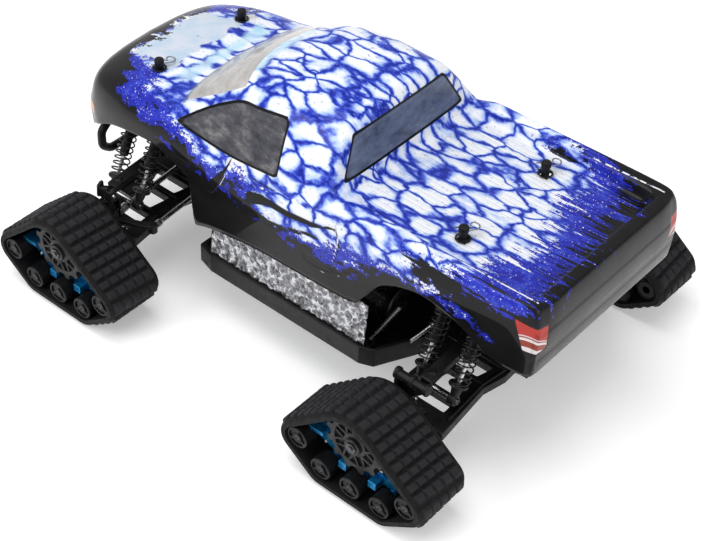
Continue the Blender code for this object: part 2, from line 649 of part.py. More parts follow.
def steering():
    plate = block((STEER_X - 4.5, -19, 53.6), (STEER_X + 4.5, 19, 57.2))
    make("steering_plate", plate, "black_plastic", pivot=(STEER_X, 0, 55))
    for side, word in ((1, "left"), (-1, "right")):
        length = math.dist(TIE_INNER, TIE_OUTER)
        direction = (0, TIE_OUTER[0] - TIE_INNER[0], TIE_OUTER[1] - TIE_INNER[1])
        end = length - 1
        profile = ((0, 0), (0, 2.8), (9, 2.8), (11, 1.8), (end - 10, 1.8), (end - 8, 2.8), (end, 2.8), (end, 0))
        start = (STEER_X, *TIE_INNER)
        make(f"tie_rod_{word}", turned(profile, start, direction, 8), "silver_metal", side, start)


def body_shell():
    """The shell: its outer skin as a grid of rows, thickened inwards, with a hole for each body post."""
    points = []
    for row in SHELL_ROWS:
        points += [(x, -y, z) for x, y, z in reversed(row[1:])] + list(row)
    width = 2 * len(SHELL_ROWS[0]) - 1
    faces = []
    for r in range(len(SHELL_ROWS) - 1):
        for c in range(width - 1):
            here = r * width + c
            faces.append((here, here + 1, here + width + 1, here + width))
    obj = mesh_object("body_shell", (points, faces), 1, (0, 0, 0), "shell_paint")
    wall = obj.modifiers.new("wall", "SOLIDIFY")
    wall.thickness = SHELL_WALL * MM
    wall.offset = -1.0
    for x, y, _ in POSTS.values():
        for sign in (1, -1):
            hole = bar((x, sign * y, 135), (x, sign * y, 172), POST_HOLE, 8)
            use_tool(obj, "DIFFERENCE", hole, 1, "shell_paint")


def corner_pieces(end, side):
    word = "left" if side > 0 else "right"
    corner = f"{end}_{word}"
    axle_x = AXLE_X[end]
    track_unit(corner, side, axle_x)
    lower_arm(corner, end, side, axle_x)
    upper_arm(corner, end, side, axle_x)
    if end == "front":
        caster_block(corner, side, axle_x)
        knuckle(corner, side, axle_x)
    else:
        hub_carrier(corner, side, axle_x)
    half_shaft(corner, side, axle_x)
    shock_pair(corner, end, side, axle_x)


def main():
    clear_scene()
    chassis()
    liner(1, "left_liner")
    liner(-1, "right_liner")
    inner_parts()
    centre_shaft()
    steering()
    front_bumper()
    for end in ("front", "rear"):
        gearbox(end)
        shock_tower(end)
        for side in (1, -1):
            corner_pieces(end, side)
    body_shell()


main()
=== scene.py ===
"""The looks of a radio-controlled monster truck on four snow tracks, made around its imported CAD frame.

Frame: +X is forward, +Y is the truck's left, +Z is up, and the origin is on the ground. Shapes are
written in millimetres, and `piece` turns them into metres. A corner's pieces are described for the
truck's left side and mirrored for its right side.
"""

import math

import bmesh
import bpy
import numpy as np
from mathutils import Matrix, Vector


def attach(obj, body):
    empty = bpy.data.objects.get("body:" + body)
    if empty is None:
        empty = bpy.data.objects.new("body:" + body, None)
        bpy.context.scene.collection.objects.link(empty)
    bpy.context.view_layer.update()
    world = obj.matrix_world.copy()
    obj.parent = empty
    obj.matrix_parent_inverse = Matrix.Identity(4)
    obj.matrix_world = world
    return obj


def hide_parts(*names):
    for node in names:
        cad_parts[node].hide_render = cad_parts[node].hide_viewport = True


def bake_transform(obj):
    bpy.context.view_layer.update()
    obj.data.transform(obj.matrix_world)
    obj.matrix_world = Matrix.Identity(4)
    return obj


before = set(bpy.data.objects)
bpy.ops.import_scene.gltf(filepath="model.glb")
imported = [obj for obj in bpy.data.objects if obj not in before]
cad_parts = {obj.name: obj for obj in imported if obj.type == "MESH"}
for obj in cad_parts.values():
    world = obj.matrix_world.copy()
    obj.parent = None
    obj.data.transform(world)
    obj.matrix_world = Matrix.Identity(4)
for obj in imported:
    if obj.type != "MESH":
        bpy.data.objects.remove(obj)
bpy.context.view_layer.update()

MM = 0.001
FORWARD, OUTWARD, UP = Vector((1, 0, 0)), Vector((0, 1, 0)), Vector((0, 0, 1))

# Places that the pieces share with the CAD model, as (y, z) where there are two numbers
AXLE_X = {"front": 145.6, "rear": -130.8}
AXLE_Z = 48.5
SIDES = {"left": 1, "right": -1}
TRACK_SHIFT = -3.0
BELT_Y = (114.0, 161.3)
BELT_CIRCLES = (  # the belt's inner outline: (x from the unit's centre, z, radius)
    (3, 48.5, 24), (45.2, 30.7, 8.9), (24.8, 15.4, 8.8), (-24.8, 15.4, 8.8), (-45.2, 30.7, 8.9),
)
ROLLER_PLACES = ((45.2, 30.7), (24.8, 15.4), (0, 15.4), (-24.8, 15.4), (-45.2, 30.7))  # (x, z)
ROLLER_RADIUS = 8.4
LOWER_INNER, LOWER_OUTER = (26.0, 47.0), (100.0, 40.0)
UPPER_INNER = (26.0, 81.5)
ARM_SHIFT = {"front": 0.0, "rear": -7.0}
LINK_SHIFT = {"front": 0.0, "rear": -13.0}
SHOCK_TOP, SHOCK_EYE = (58.0, 118.0), (86.0, 58.5)
SHOCK_OFFSETS = {"front": (12.5, -12.5), "rear": (1.0, -27.0)}
KINGPIN_Y = 103.0
STEER_X = 114.6
TIE_OUTER = (91.0, 49.0)
POSTS = {"front": (148.8, 42.5, 156.0), "rear": (-125.4, 44.5, 160.0)}  # (x, y, top)

# Body shell: rows from nose to tail. Each row holds the left half of one section, from the middle
# of the roof, hood or bed out over its edge and down the side to the hem, as (x, y, z).
SHELL_ROWS = (
    ((208, 0, 86), (207.5, 22, 86), (206.5, 36, 86), (204.5, 47, 86),
     (202, 55, 86), (200, 60, 86), (197, 64, 87)),
    ((211.2, 0, 106), (210.4, 22, 106), (209.2, 37, 106), (207, 49, 106),
     (204, 58, 105), (201, 64, 103), (195, 68, 91)),
    ((209, 0, 127), (208, 22, 127), (206.5, 38, 126.5), (203, 52, 125.5),
     (200, 61, 121), (197, 67, 111), (190, 71, 95)),
    ((203, 0, 135), (202, 22, 135), (200, 40, 134.5), (196, 57, 132.5),
     (192, 67, 126), (188, 72, 112), (182, 74.5, 100)),
    ((182, 0, 143.5), (181, 22, 143.5), (179, 42, 142.5), (176, 62, 139.5),
     (173, 72, 132.5), (170, 77, 120), (166, 78, 110)),
    ((152, 0, 149), (152, 22, 149), (151, 42, 148), (150, 64, 145),
     (148, 75, 138), (146, 80, 128), (144, 81, 117)),
    ((126, 0, 151.5), (125, 22, 151.5), (123, 44, 151), (119, 64, 148.5),
     (119, 77, 141), (118, 82, 130), (118, 82.5, 121)),
    ((118, 0, 152), (116.5, 22, 152), (114, 44, 152), (109, 62, 151),
     (105, 77, 143.5), (102, 82.5, 130), (100, 83, 116)),
    ((88, 0, 174), (87, 20, 173.5), (85, 38, 171.5), (81, 54, 167),
     (82, 77, 144), (82, 83.5, 124), (82, 84, 109)),
    ((58, 0, 191.5), (57, 19, 191), (55, 36, 189), (51, 49, 184.5),
     (58, 77, 144), (69, 84.5, 120), (75, 84.5, 72)),
    ((38, 0, 196.5), (38, 19, 196), (37, 37, 194), (35, 51, 188.5),
     (40, 77.5, 144.5), (48, 85, 118), (62, 84.5, 76)),
    ((5, 0, 198.5), (5, 20, 198), (5, 39, 196), (5, 53, 190),
     (5, 78.5, 146), (5, 85.5, 117), (8, 84.5, 83.5)),
    ((-25, 0, 196.5), (-25, 20, 196), (-25, 39, 194), (-26, 53, 189),
     (-26, 79, 148), (-26, 85.5, 118), (-30, 84.2, 84.5)),
    ((-34, 0, 190), (-34, 20, 189.5), (-34, 39, 188), (-34, 52.5, 185.5),
     (-36, 79.5, 149), (-40, 85, 119), (-48, 84, 85)),
    ((-42, 0, 161), (-42, 24, 161), (-42, 46, 160), (-42, 61, 158.5),
     (-44, 80.5, 151), (-50, 84.5, 120), (-60, 83.8, 85.5)),
    ((-47, 0, 153), (-47, 40, 153), (-47, 62, 153.5), (-49, 73, 156.5),
     (-52, 81, 152.5), (-58, 84.5, 121), (-70, 83.5, 87)),
    ((-62, 0, 151.5), (-62, 62, 151), (-62, 68.5, 158), (-62, 76, 159),
     (-63, 81.5, 152.5), (-68, 84.5, 124), (-79, 83.5, 98)),
    ((-92, 0, 151), (-92, 65, 150.5), (-92, 69.5, 158), (-92, 77, 159),
     (-92, 82, 152), (-93, 84.8, 134), (-94, 83.5, 117)),
    ((-126, 0, 150.8), (-126, 65.5, 150.3), (-126, 69.5, 158.5), (-126, 77.2, 159.6),
     (-126, 82, 152.5), (-126, 84.5, 139), (-126, 83.5, 127.5)),
    ((-160, 0, 151), (-160, 65, 150.5), (-160, 69, 159.3), (-160, 77, 160.4),
     (-159, 81.5, 153), (-157, 83.8, 136), (-156, 82.5, 120)),
    ((-187, 0, 151.3), (-187, 63, 150.8), (-188, 68, 160), (-188, 76.5, 161),
     (-185, 80.7, 153), (-181, 82, 131), (-177, 81.5, 107.5)),
    ((-195, 0, 152.5), (-195, 60, 152.5), (-196, 67, 160.3), (-197, 76, 161.2),
     (-196, 80, 153), (-195, 81, 130), (-193, 80.5, 106)),
    ((-199, 0, 159.5), (-199, 57, 159.5), (-201, 66, 160.6), (-202, 75, 161),
     (-202, 79.2, 153), (-202, 80, 130), (-200, 79.8, 106)),
    ((-207.5, 0, 160), (-207.5, 54, 160), (-207, 65, 160), (-206, 73, 159.3),
     (-206.5, 77.8, 152), (-207, 78.8, 130), (-205, 78.8, 106.5)),
    ((-211.2, 0, 136), (-211.2, 54, 136), (-211, 64, 136), (-210.5, 71.5, 136),
     (-210, 76.3, 134), (-209.5, 77.6, 124), (-208, 77.6, 107.5)),
    ((-209, 0, 108), (-209, 54, 108), (-209, 63, 108), (-209, 69.5, 108),
     (-208.8, 73.5, 108), (-208.6, 75.5, 108), (-208.4, 76.5, 108)),
)


# ---------------------------------------------------------------- materials


class Finish:
    """A Principled material, with short calls for the nodes that feed it. Sizes are in millimetres."""

    def __init__(self, name, metallic=0.0, **sockets):
        self.material = bpy.data.materials.new(name)
        self.material.use_nodes = True
        self.tree = self.material.node_tree
        self.shader = self.tree.nodes["Principled BSDF"]
        self.put("Metallic", metallic)
        for socket, value in sockets.items():
            self.put(socket.replace("_", " "), value)

    def put(self, socket, value):
        self.plug(self.shader.inputs[socket], value)

    def plug(self, socket, value):
        if isinstance(value, bpy.types.NodeSocket):
            self.tree.links.new(value, socket)
        else:
            socket.default_value = value

    def node(self, kind, settings=(), **inputs):
        made = self.tree.nodes.new(f"ShaderNode{kind}")
        for key, value in dict(settings).items():
            setattr(made, key, value)
        for key, value in inputs.items():
            self.plug(made.inputs[key.replace("_", " ")], value)
        return made

    def math(self, operation, *values):
        made = self.node("Math", {"operation": operation})
        for socket, value in zip(made.inputs, values):
            self.plug(socket, value)
        return made.outputs[0]

    def sum(self, first, *others):
        for other in others:
            first = self.math("ADD", first, other)
        return first

    def product(self, first, second):
        return self.math("MULTIPLY", first, second)

    def ease(self, value, low, high, start=0.0, end=1.0):
        """A smooth step: start where the value is below low, end where it is above high."""
        made = self.node("MapRange", {"interpolation_type": "SMOOTHSTEP"}, Value=value)
        for socket, number in zip(("From Min", "From Max", "To Min", "To Max"), (low, high, start, end)):
            self.plug(made.inputs[socket], number)
        return made.outputs[0]

    def blend(self, share, first, second):
        made = self.node("Mix", {"data_type": "RGBA"})
        for index, value in ((0, share), (6, first), (7, second)):
            if index and not isinstance(value, bpy.types.NodeSocket):
                value = (*value, 1.0)
            self.plug(made.inputs[index], value)
        return made.outputs[2]

    def ramp(self, value, *stops):
        made = self.node("ValToRGB", Fac=value)
        elements = made.color_ramp.elements
        while len(elements) < len(stops):
            elements.new(0.5)
        for element, (place, colour) in zip(elements, stops):
            element.position = place
            element.color = (*colour, 1.0)
        return made.outputs[0]

    def place(self, size=1):
        """Object coordinates in units of a size, which is one number or one for each axis."""
        sizes = size if isinstance(size, tuple) else (size,) * 3
        scale = tuple(1 / (MM * part) for part in sizes)
        return self.node("Mapping", Vector=self.node("TexCoord").outputs["Object"], Scale=scale).outputs[0]

    def cloud(self, size, detail=3.0, roughness=0.55):
        """Noise whose lumps have about that size."""
        made = self.node("TexNoise", Vector=self.place(size), Scale=1.0, Detail=detail, Roughness=roughness)
        return made.outputs[0]

    def warped(self, size, warp_size, strength):
        """Object coordinates in units of a size, pushed about by a coarser noise."""
        warp = self.node("TexNoise", Vector=self.place(warp_size), Scale=1.0, Detail=3.0).outputs["Color"]
        made = self.node("VectorMath", {"operation": "MULTIPLY_ADD"})
        for socket, value in zip(made.inputs, (warp, (strength,) * 3, self.place(size))):
            self.plug(socket, value)
        return made.outputs[0]

    def field(self, name):
        return self.node("Attribute", {"attribute_name": name}).outputs["Fac"]

    def inside(self, name, low=-0.2, high=0.2):
        """0 to 1 across the border of a painted area, between two distances from it."""
        return self.ease(self.field(name), low, high)

    def bump(self, height, distance, strength=1.0):
        made = self.node("Bump", Height=height, Distance=distance * MM, Strength=strength)
        self.put("Normal", made.outputs[0])

    def vary_roughness(self, size, low, high):
        self.put("Roughness", self.ease(self.cloud(size), 0.3, 0.7, low, high))


def grey(level):
    return (level, level, level)


def mottled(name, pattern, stops, roughness, relief=None, **sockets):
    """A finish whose colour and relief follow one noise pattern, with a slower change of gloss."""
    made = Finish(name, **sockets)
    cloud = made.cloud(*pattern)
    made.put("Base Color", made.ramp(cloud, *stops))
    made.vary_roughness(*roughness)
    if relief:
        made.bump(cloud, *relief)
    return made.material


def anodised(name, colour, dark):
    """Satin anodised aluminium with faint brushing along the plate."""
    stops = ((0.2, dark), (0.8, colour))
    return mottled(name, ((6, 6, 0.35), 4), stops, ((3, 3, 0.5), 0.2, 0.36), (0.02, 0.4), metallic=0.55,
                   Specular_IOR_Level=0.6)


def steel(name, colour, low, high):
    """Turned metal, a little uneven in its shine, with fine tool marks."""
    shade = tuple(0.72 * part for part in colour)
    stops = ((0.25, shade), (0.7, colour))
    return mottled(name, (0.5, 4), stops, (2.5, low, high), (0.015, 0.5), metallic=1.0)


def wrap(name, colour, dark):
    """Shrink-wrapped film over a box: glossy, with soft ripples."""
    return mottled(name, ((14, 5, 5), 2), ((0.3, dark), (0.7, colour)), (8, 0.25, 0.4), (0.35, 0.5),
                   Coat_Weight=0.6, Coat_Roughness=0.08)


def shell_inside():
    """The unpainted inner face: black film with a dull shine."""
    stops = ((0.3, (0.010, 0.010, 0.011)), (0.7, (0.022, 0.022, 0.024)))
    return mottled("shell_inside", (18, 4), stops, (9, 0.4, 0.6))


def moulded_plastic(name="black_plastic", lighter=1.0):
    """Satin black nylon with a fine grain and dusty, worn patches."""
    made = Finish(name, Specular_IOR_Level=0.22)
    worn = ((0.3, grey(0.0035 * lighter)), (0.72, grey(0.0105 * lighter)))
    made.put("Base Color", made.ramp(made.cloud(9, 5), *worn))
    made.vary_roughness(5, 0.34, 0.5)
    made.bump(made.cloud(0.45, 2), 0.05, 0.5)
    return made.material


def tread_rubber():
    """Matt charcoal rubber, dustier on the faces of its blocks than in its grooves."""
    made = Finish("track_rubber", Specular_IOR_Level=0.2)
    dust = made.product(made.field("tread_top"), made.ease(made.cloud(7, 6), 0.25, 0.8, 0.55, 1.0))
    made.put("Base Color", made.ramp(dust, (0.0, (0.0035, 0.0035, 0.004)), (1.0, (0.019, 0.0185, 0.022))))
    made.vary_roughness(4, 0.58, 0.78)
    made.bump(made.cloud(0.7), 0.12, 0.6)
    return made.material


def crinkled_film():
    """Bright foil, crushed into many small facets; its colour carries painted highlights and painted shade
    that follow the folds.
    """
    made = Finish("silver_film", metallic=0.85)
    cells = made.node("TexVoronoi", {"feature": "SMOOTH_F1"}, Vector=made.warped(4.4, 9, 2.2), Scale=1.0,
                      Smoothness=0.35)
    shade = made.sum(cells.outputs["Distance"], made.product(made.cloud(1.9, 4), 0.7))
    # Painted highlights and shade: the base colour runs dark in the hollows of the folds and bright on their
    # ridges.
    made.put("Base Color", made.ramp(
        shade, (0.35, (0.075, 0.075, 0.08)), (0.6, (0.20, 0.20, 0.215)), (0.95, (0.36, 0.36, 0.385)),
        (1.2, (0.70, 0.71, 0.74))
    ))
    made.vary_roughness(4, 0.18, 0.4)
    made.bump(shade, 1.6)
    return made.material


def studio_floor():
    made = Finish("studio_floor", Roughness=0.65, Specular_IOR_Level=0.3)
    cloud = made.cloud(260, 2)
    made.put("Base Color", made.ramp(cloud, (0.2, (0.88, 0.88, 0.882)), (0.8, (0.91, 0.91, 0.91))))
    made.put("Emission Color", (1.0, 1.0, 1.0, 1.0))
    made.put("Emission Strength", 0.27)
    return made.material


# ---------------------------------------------------------------- the shell's paint

ROYAL = (0.018, 0.040, 0.440)
DEEP = (0.008, 0.018, 0.250)
HAZE = (0.400, 0.520, 0.830)
PALE = (0.780, 0.800, 0.850)
SPECK = (0.16, 0.20, 0.52)
# The tone of the thin darker lines along the bed's ribs.
RIB_LINE_TONE = (0.06, 0.05, 0.05)
COWL = (0.10, 0.13, 0.20)
RIB_PITCH = 4.4


def white_cells(made):
    """White cells with soft airbrushed royal-blue borders and a few specks."""
    border = made.node(
        "TexVoronoi", {"feature": "DISTANCE_TO_EDGE"}, Vector=made.warped((27, 12.5, 17), (22, 15, 15), 0.8),
        Scale=1.0, Randomness=0.9
    ).outputs["Distance"]
    breadth = made.ease(made.cloud((26, 18, 18), 1), 0.3, 0.72, 0.45, 1.5)
    mottle = made.ease(made.cloud((6, 2.6, 4), 4), 0.25, 0.75, -0.028, 0.028)
    colour = made.ramp(
        made.sum(made.math("DIVIDE", border, breadth), mottle), (0.0, DEEP), (0.03, ROYAL),
        (0.07, (0.085, 0.14, 0.60)), (0.115, HAZE), (0.175, (0.62, 0.69, 0.85)), (0.24, PALE)
    )
    specks = made.ease(made.cloud((4.5, 2.4, 3.5), 5, 0.6), 0.60, 0.68, 0.0, 0.65)
    return made.blend(specks, colour, SPECK)


def hood_washes(made, colour):
    """Cyan washes before and behind the windshield, and a pale splash over the hood's middle."""
    pool = made.cloud((12, 9, 9), 6, 0.62)
    cloud = made.cloud((20, 14, 14))
    cyan = made.ramp(cloud, (0.35, (0.32, 0.62, 0.78)), (0.65, (0.62, 0.74, 0.82)))
    ice = made.ramp(cloud, (0.35, (0.44, 0.57, 0.70)), (0.6, (0.58, 0.62, 0.71)))
    colour = made.blend(made.ease(made.sum(made.field("cyan"), pool), 0.78, 1.06, 0.0, 0.8), colour, cyan)
    return made.blend(made.ease(made.sum(made.field("splash"), pool), 0.86, 0.96), colour, ice)


def torn_edges(made, colour):
    """Royal blue first, then black over it, both ragged, and combed along the bed."""
    tears = made.cloud((8, 6, 6), 8, 0.7)
    swirl = made.cloud((26, 11, 9), 2)
    streaks = made.cloud((46, 2.6, 8), 4, 0.65)
    speckle = made.cloud(1.7, 4, 0.7)
    combed = made.product(made.ease(streaks, 0.32, 0.68, -19.0, 17.0), made.field("streaked"))
    ragged = made.sum(made.ease(tears, 0.3, 0.7, -7.0, 7.0), made.ease(swirl, 0.3, 0.7, -6.0, 6.0), combed)

    blue = made.sum(made.field("blue"), made.product(ragged, 0.8), made.ease(speckle, 0.3, 0.7, -5.0, 5.0))
    torn_blue = made.ramp(
        tears, (0.3, (0.010, 0.013, 0.20)), (0.5, (0.016, 0.024, 0.40)), (0.75, (0.055, 0.10, 0.62))
    )
    colour = made.blend(made.ease(blue, -1.0, 1.5), colour, torn_blue)
    flecks = made.product(made.ease(speckle, 0.62, 0.66), made.ease(blue, -8.0, 2.0))
    colour = made.blend(flecks, colour, PALE)

    dark = made.sum(made.field("dark"), ragged, made.ease(speckle, 0.3, 0.7, -2.0, 2.0))
    soot = made.ramp(made.cloud((40, 30, 16)), (0.35, grey(0.004)), (0.7, grey(0.009)))
    return made.blend(made.ease(dark, -0.5, 0.5), colour, soot)


def marks(made, colour, across):
    """Thin darker lines between the bed's ribs, black licks and a duct's painted shade, pale scratches and a
    painted highlight along each bed rail.
    """
    # A thin darker line along the bed once every rib pitch, over the ribbed area, blended in at 0.3.
    turn = made.product(made.sum(across, RIB_PITCH / 4), 2 * math.pi / RIB_PITCH)
    line = made.product(made.ease(made.math("COSINE", turn), -0.9, -1.0), made.field("ribs"))
    colour = made.blend(made.product(line, 0.3), colour, RIB_LINE_TONE)
    # Near-black over the flame licks, and over each duct as its painted shade.
    colour = made.blend(made.inside("licks_and_duct_shade", -0.2, 0.3), colour, (0.006, 0.006, 0.007))
    broken = made.ease(made.cloud(5), 0.42, 0.5)
    # Pale over the scratches, and over the painted highlight along each bed rail.
    return made.blend(made.product(made.inside("scratch_and_rail_highlight", -0.25, 0.15), broken), colour, PALE)


def windows(made, colour):
    smoke = made.cloud((16, 16, 7), 8, 0.68)
    glass = made.ramp(
        smoke, (0.34, (0.034, 0.035, 0.042)), (0.52, (0.075, 0.075, 0.088)), (0.62, (0.15, 0.145, 0.15)),
        (0.7, (0.24, 0.23, 0.235))
    )
    slate = made.ramp(smoke, (0.34, (0.046, 0.062, 0.105)), (0.7, (0.150, 0.185, 0.275)))
    haze = made.ramp(smoke, (0.3, (0.30, 0.29, 0.28)), (0.7, (0.52, 0.50, 0.49)))
    colour = made.blend(made.product(made.inside("cowl", -0.9, 0.3), 0.75), colour, COWL)
    for name, paint in (("side_glass", glass), ("rear_glass", slate), ("wind_glass", haze)):
        if name != "wind_glass":
            colour = made.blend(made.inside(name, -1.4, -1.0), colour, grey(0.003))
        colour = made.blend(made.inside(name, 0.3, 0.7), colour, paint)
    return colour


def lamps(made, colour):
    """Red and white tail lamps, plain headlamps, amber side lamps and a barred grille."""
    white, dull, bright = (0.68, 0.62, 0.62), (0.26, 0.045, 0.030), (0.42, 0.040, 0.032)
    bands = ((0.0, white), (0.10, white), (0.12, dull), (0.34, dull), (0.36, white), (0.44, white),
             (0.46, dull), (0.49, dull), (0.51, white), (0.53, white), (0.55, bright), (1.0, bright))
    bars = made.node("TexWave", {"bands_direction": "Z"}, Vector=made.place(), Scale=0.075).outputs[0]
    layers = (
        ("lamp", -1.2, -0.8, (0.008, 0.008, 0.009)),
        ("lamp", 0.0, 0.4, made.ramp(made.field("lamp_height"), *bands)),
        ("grille", -0.2, 0.2, made.ramp(bars, (0.45, grey(0.004)), (0.6, (0.05, 0.05, 0.052)))),
        ("headlamp", -1.1, -0.8, (0.006, 0.006, 0.007)),
        ("headlamp", 0.0, 0.4, (0.55, 0.57, 0.60)),
        ("amber", -0.2, 0.2, (0.80, 0.20, 0.03)),
    )
    for name, low, high, paint in layers:
        colour = made.blend(made.inside(name, low, high), colour, paint)
    return colour


def relief(made, across):
    """The moulding's small steps: the bed's ribs, the tailgate's bands, and sunk window and lamp seams."""
    wave = made.math("SINE", made.product(across, 2 * math.pi / RIB_PITCH))
    rib = made.product(made.ease(wave, -1.0, -0.35), made.field("ribs"))
    seams = [made.inside(name, -1.0, 0.6) for name in ("side_glass", "rear_glass", "lamp", "licks_and_duct_shade")]
    level = made.math("SUBTRACT", made.product(rib, 0.55), made.product(made.sum(*seams), 0.8))
    made.bump(made.sum(level, made.field("bands")), 1.0)


def shell_paint():
    """Clear-coated polycarbonate: cells over the cab and bed, torn into black at the nose, sills and tail."""
    made = Finish("shell_paint", Specular_IOR_Level=0.06, Coat_Weight=0.5, Coat_Roughness=0.04, Coat_IOR=1.33)
    across = made.node("SeparateXYZ", Vector=made.place()).outputs[1]
    colour = torn_edges(made, hood_washes(made, white_cells(made)))
    made.put("Base Color", lamps(made, windows(made, marks(made, colour, across))))
    made.vary_roughness(30, 0.26, 0.38)
    relief(made, across)
    return made.material


# ---------------------------------------------------------------- shapes, as (points, faces) in millimetres


def joined(*shapes):
    points, faces = [], []
    for more_points, more_faces in shapes:
        start = len(points)
        points += [tuple(point) for point in more_points]
        faces += [tuple(start + i for i in face) for face in more_faces]
    return points, faces


def moved(shape, matrix):
    points, faces = shape
    return [tuple(matrix @ Vector(point)) for point in points], faces


def mirrored(shape, side):
    if side > 0:
        return shape
    points, faces = shape
    return [(x, -y, z) for x, y, z in points], [tuple(reversed(face)) for face in faces]


def prism(outline, low, high, axis="z"):
    """The outline extruded from low to high along the axis; (a, b) are (y, z), (z, x) or (x, y)."""

    def place(a, b, height):
        return {"x": (height, a, b), "y": (b, height, a), "z": (a, b, height)}[axis]

    count = len(outline)
    points = [place(a, b, low) for a, b in outline] + [place(a, b, high) for a, b in outline]
    faces = [tuple(reversed(range(count))), tuple(range(count, 2 * count))]
    faces += [(i, (i + 1) % count, (i + 1) % count + count, i + count) for i in range(count)]
    return points, faces


def block(low, high):
    outline = ((low[0], low[1]), (high[0], low[1]), (high[0], high[1]), (low[0], high[1]))
    return prism(outline, low[2], high[2])


def axes_for(direction):
    along = Vector(direction).normalized()
    across = along.orthogonal().normalized()
    return along, across, along.cross(across)


def turned(profile, start, direction, sides=24):
    """The profile, (distance along, radius) points, turned about a line; it closes where a radius is 0."""
    along, across, other = axes_for(direction)
    start = Vector(start)
    ring = profile[0] == profile[-1]
    points, rows = [], []
    for distance, radius in profile[:-1] if ring else profile:
        middle = start + along * distance
        if radius == 0:
            rows.append([len(points)] * sides)
            points.append(tuple(middle))
            continue
        rows.append(list(range(len(points), len(points) + sides)))
        for i in range(sides):
            turn = 2 * math.pi * i / sides
            points.append(tuple(middle + (across * math.cos(turn) + other * math.sin(turn)) * radius))
    faces = []
    for here, there in list(zip(rows, rows[1:])) + ([(rows[-1], rows[0])] if ring else []):
        for i in range(sides):
            j = (i + 1) % sides
            faces.append(tuple(dict.fromkeys((here[i], here[j], there[j], there[i]))))
    return points, faces


def rod(start, end, radius, sides=16, round_end=0.4):
    """A round bar with softened ends."""
    length = (Vector(end) - Vector(start)).length
    soft = min(round_end, radius * 0.6)
    near = ((0, 0), (0, radius - soft), (soft, radius))
    far = tuple((length - distance, size) for distance, size in reversed(near))
    return turned(near + far, start, Vector(end) - Vector(start), sides)


def ring(at, direction, inner, outer, depth, sides=24):
    """A flat ring standing on the point."""
    return turned(((0, inner), (0, outer), (depth, outer), (depth, inner), (0, inner)), at, direction, sides)


def tube(path, radius, sides=12, closed=False):
    """A round bar along a path of points, its section carried along without twist."""
    path = [Vector(point) for point in path]
    count = len(path)
    points, faces = [], []
    across = None
    for i, here in enumerate(path):
        before = path[(i - 1) % count] if closed or i else here
        after = path[(i + 1) % count] if closed or i < count - 1 else here
        along = (after - before).normalized()
        across = along.orthogonal() if across is None else across - along * across.dot(along)
        across.normalize()
        other = along.cross(across)
        for k in range(sides):
            turn = 2 * math.pi * k / sides
            points.append(tuple(here + (across * math.cos(turn) + other * math.sin(turn)) * radius))
    for i in range(count if closed else count - 1):
        for k in range(sides):
            j, m = (i + 1) % count * sides, (k + 1) % sides
            faces.append((i * sides + k, i * sides + m, j + m, j + k))
    if not closed:
        faces += [tuple(reversed(range(sides))), tuple(range((count - 1) * sides, count * sides))]
    return points, faces


def rounded(corners, radius, steps=5):
    """A closed path through 3-D corners, each turned into an arc-like bend."""
    path = []
    count = len(corners)
    for i in range(count):
        before, here, after = (Vector(corners[(i + k) % count]) for k in (-1, 0, 1))
        first = here + (before - here).normalized() * radius
        last = here + (after - here).normalized() * radius
        for k in range(steps + 1):
            t = k / steps
            path.append(first * (1 - t) ** 2 + here * 2 * t * (1 - t) + last * t * t)
    return path


def screw(at, direction, radius=2.0, height=1.2):
    """A button-head screw with a hollow in its top, its head standing on the point."""
    hollow = 0.35 * height
    profile = ((-0.6, 0), (-0.6, radius), (0.25, radius), (0.8 * height, 0.8 * radius),
               (height, 0.62 * radius), (height, 0.5 * radius), (hollow, 0.46 * radius), (hollow, 0))
    return turned(profile, at, direction, 18)


def nut(at, direction, radius, height):
    """A six-sided nut standing on the point, with the end of its stud."""
    along = Vector(direction).normalized()
    profile = ((0, 0), (0, 0.86 * radius), (0.4, radius), (height, radius), (height, 0))
    hexagon = turned(profile, at, direction, 6)
    stub = rod(Vector(at), Vector(at) + along * (height + 1.0), 0.45 * radius)
    return joined(hexagon, stub)


# ---------------------------------------------------------------- objects

WELD_GAP = 0.02


def piece(name, shape, material, body, stands_for=(), slot=None, side=1, bevel=0.0, sharp=38):
    """A finished piece: its shape in metres, on its body, with its material and any softened edges."""
    points, faces = mirrored(shape, side)
    mesh = bpy.data.meshes.new(name)
    mesh.from_pydata([Vector(point) * MM for point in points], [], faces)
    work = bmesh.new()
    work.from_mesh(mesh)
    bmesh.ops.recalc_face_normals(work, faces=work.faces)
    work.to_mesh(mesh)
    work.free()
    mesh.shade_smooth()
    mesh.set_sharp_from_angle(angle=math.radians(sharp))
    mesh.materials.append(material)
    made = bpy.data.objects.new(name, mesh)
    bpy.context.scene.collection.objects.link(made)
    if bevel:
        soften(made, bevel)
    if body:
        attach(made, body)
    if stands_for:
        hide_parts(*stands_for)
    return made


def soften(obj, width, weld=False):
    """Rounds an object's edges, after welding the corners that an import splits."""
    if weld:
        obj.modifiers.new("weld", "WELD").merge_threshold = WELD_GAP * MM
    bevel = obj.modifiers.new("bevel", "BEVEL")
    bevel.width = width * MM
    bevel.segments = 2
    bevel.limit_method = "ANGLE"
    bevel.angle_limit = math.radians(34)
    obj.modifiers.new("normals", "WEIGHTED_NORMAL").keep_sharp = True


def dress(node, material, width):
    """A CAD piece that keeps its shape gets its material and softened edges."""
    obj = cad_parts[node]
    obj.data.materials.clear()
    obj.data.materials.append(material)
    soften(obj, width, weld=True)


# ---------------------------------------------------------------- body shell

ROW_STEPS, EDGE_STEPS, MIDDLE_STEPS = 9, 10, 26
WALL = 1.2
POST_HOLE = 4.2
WASHER_Z = {"front": 149.2, "rear": 151.0}
OUTSIDE = -60  # the distance given to points that a painted area cannot reach


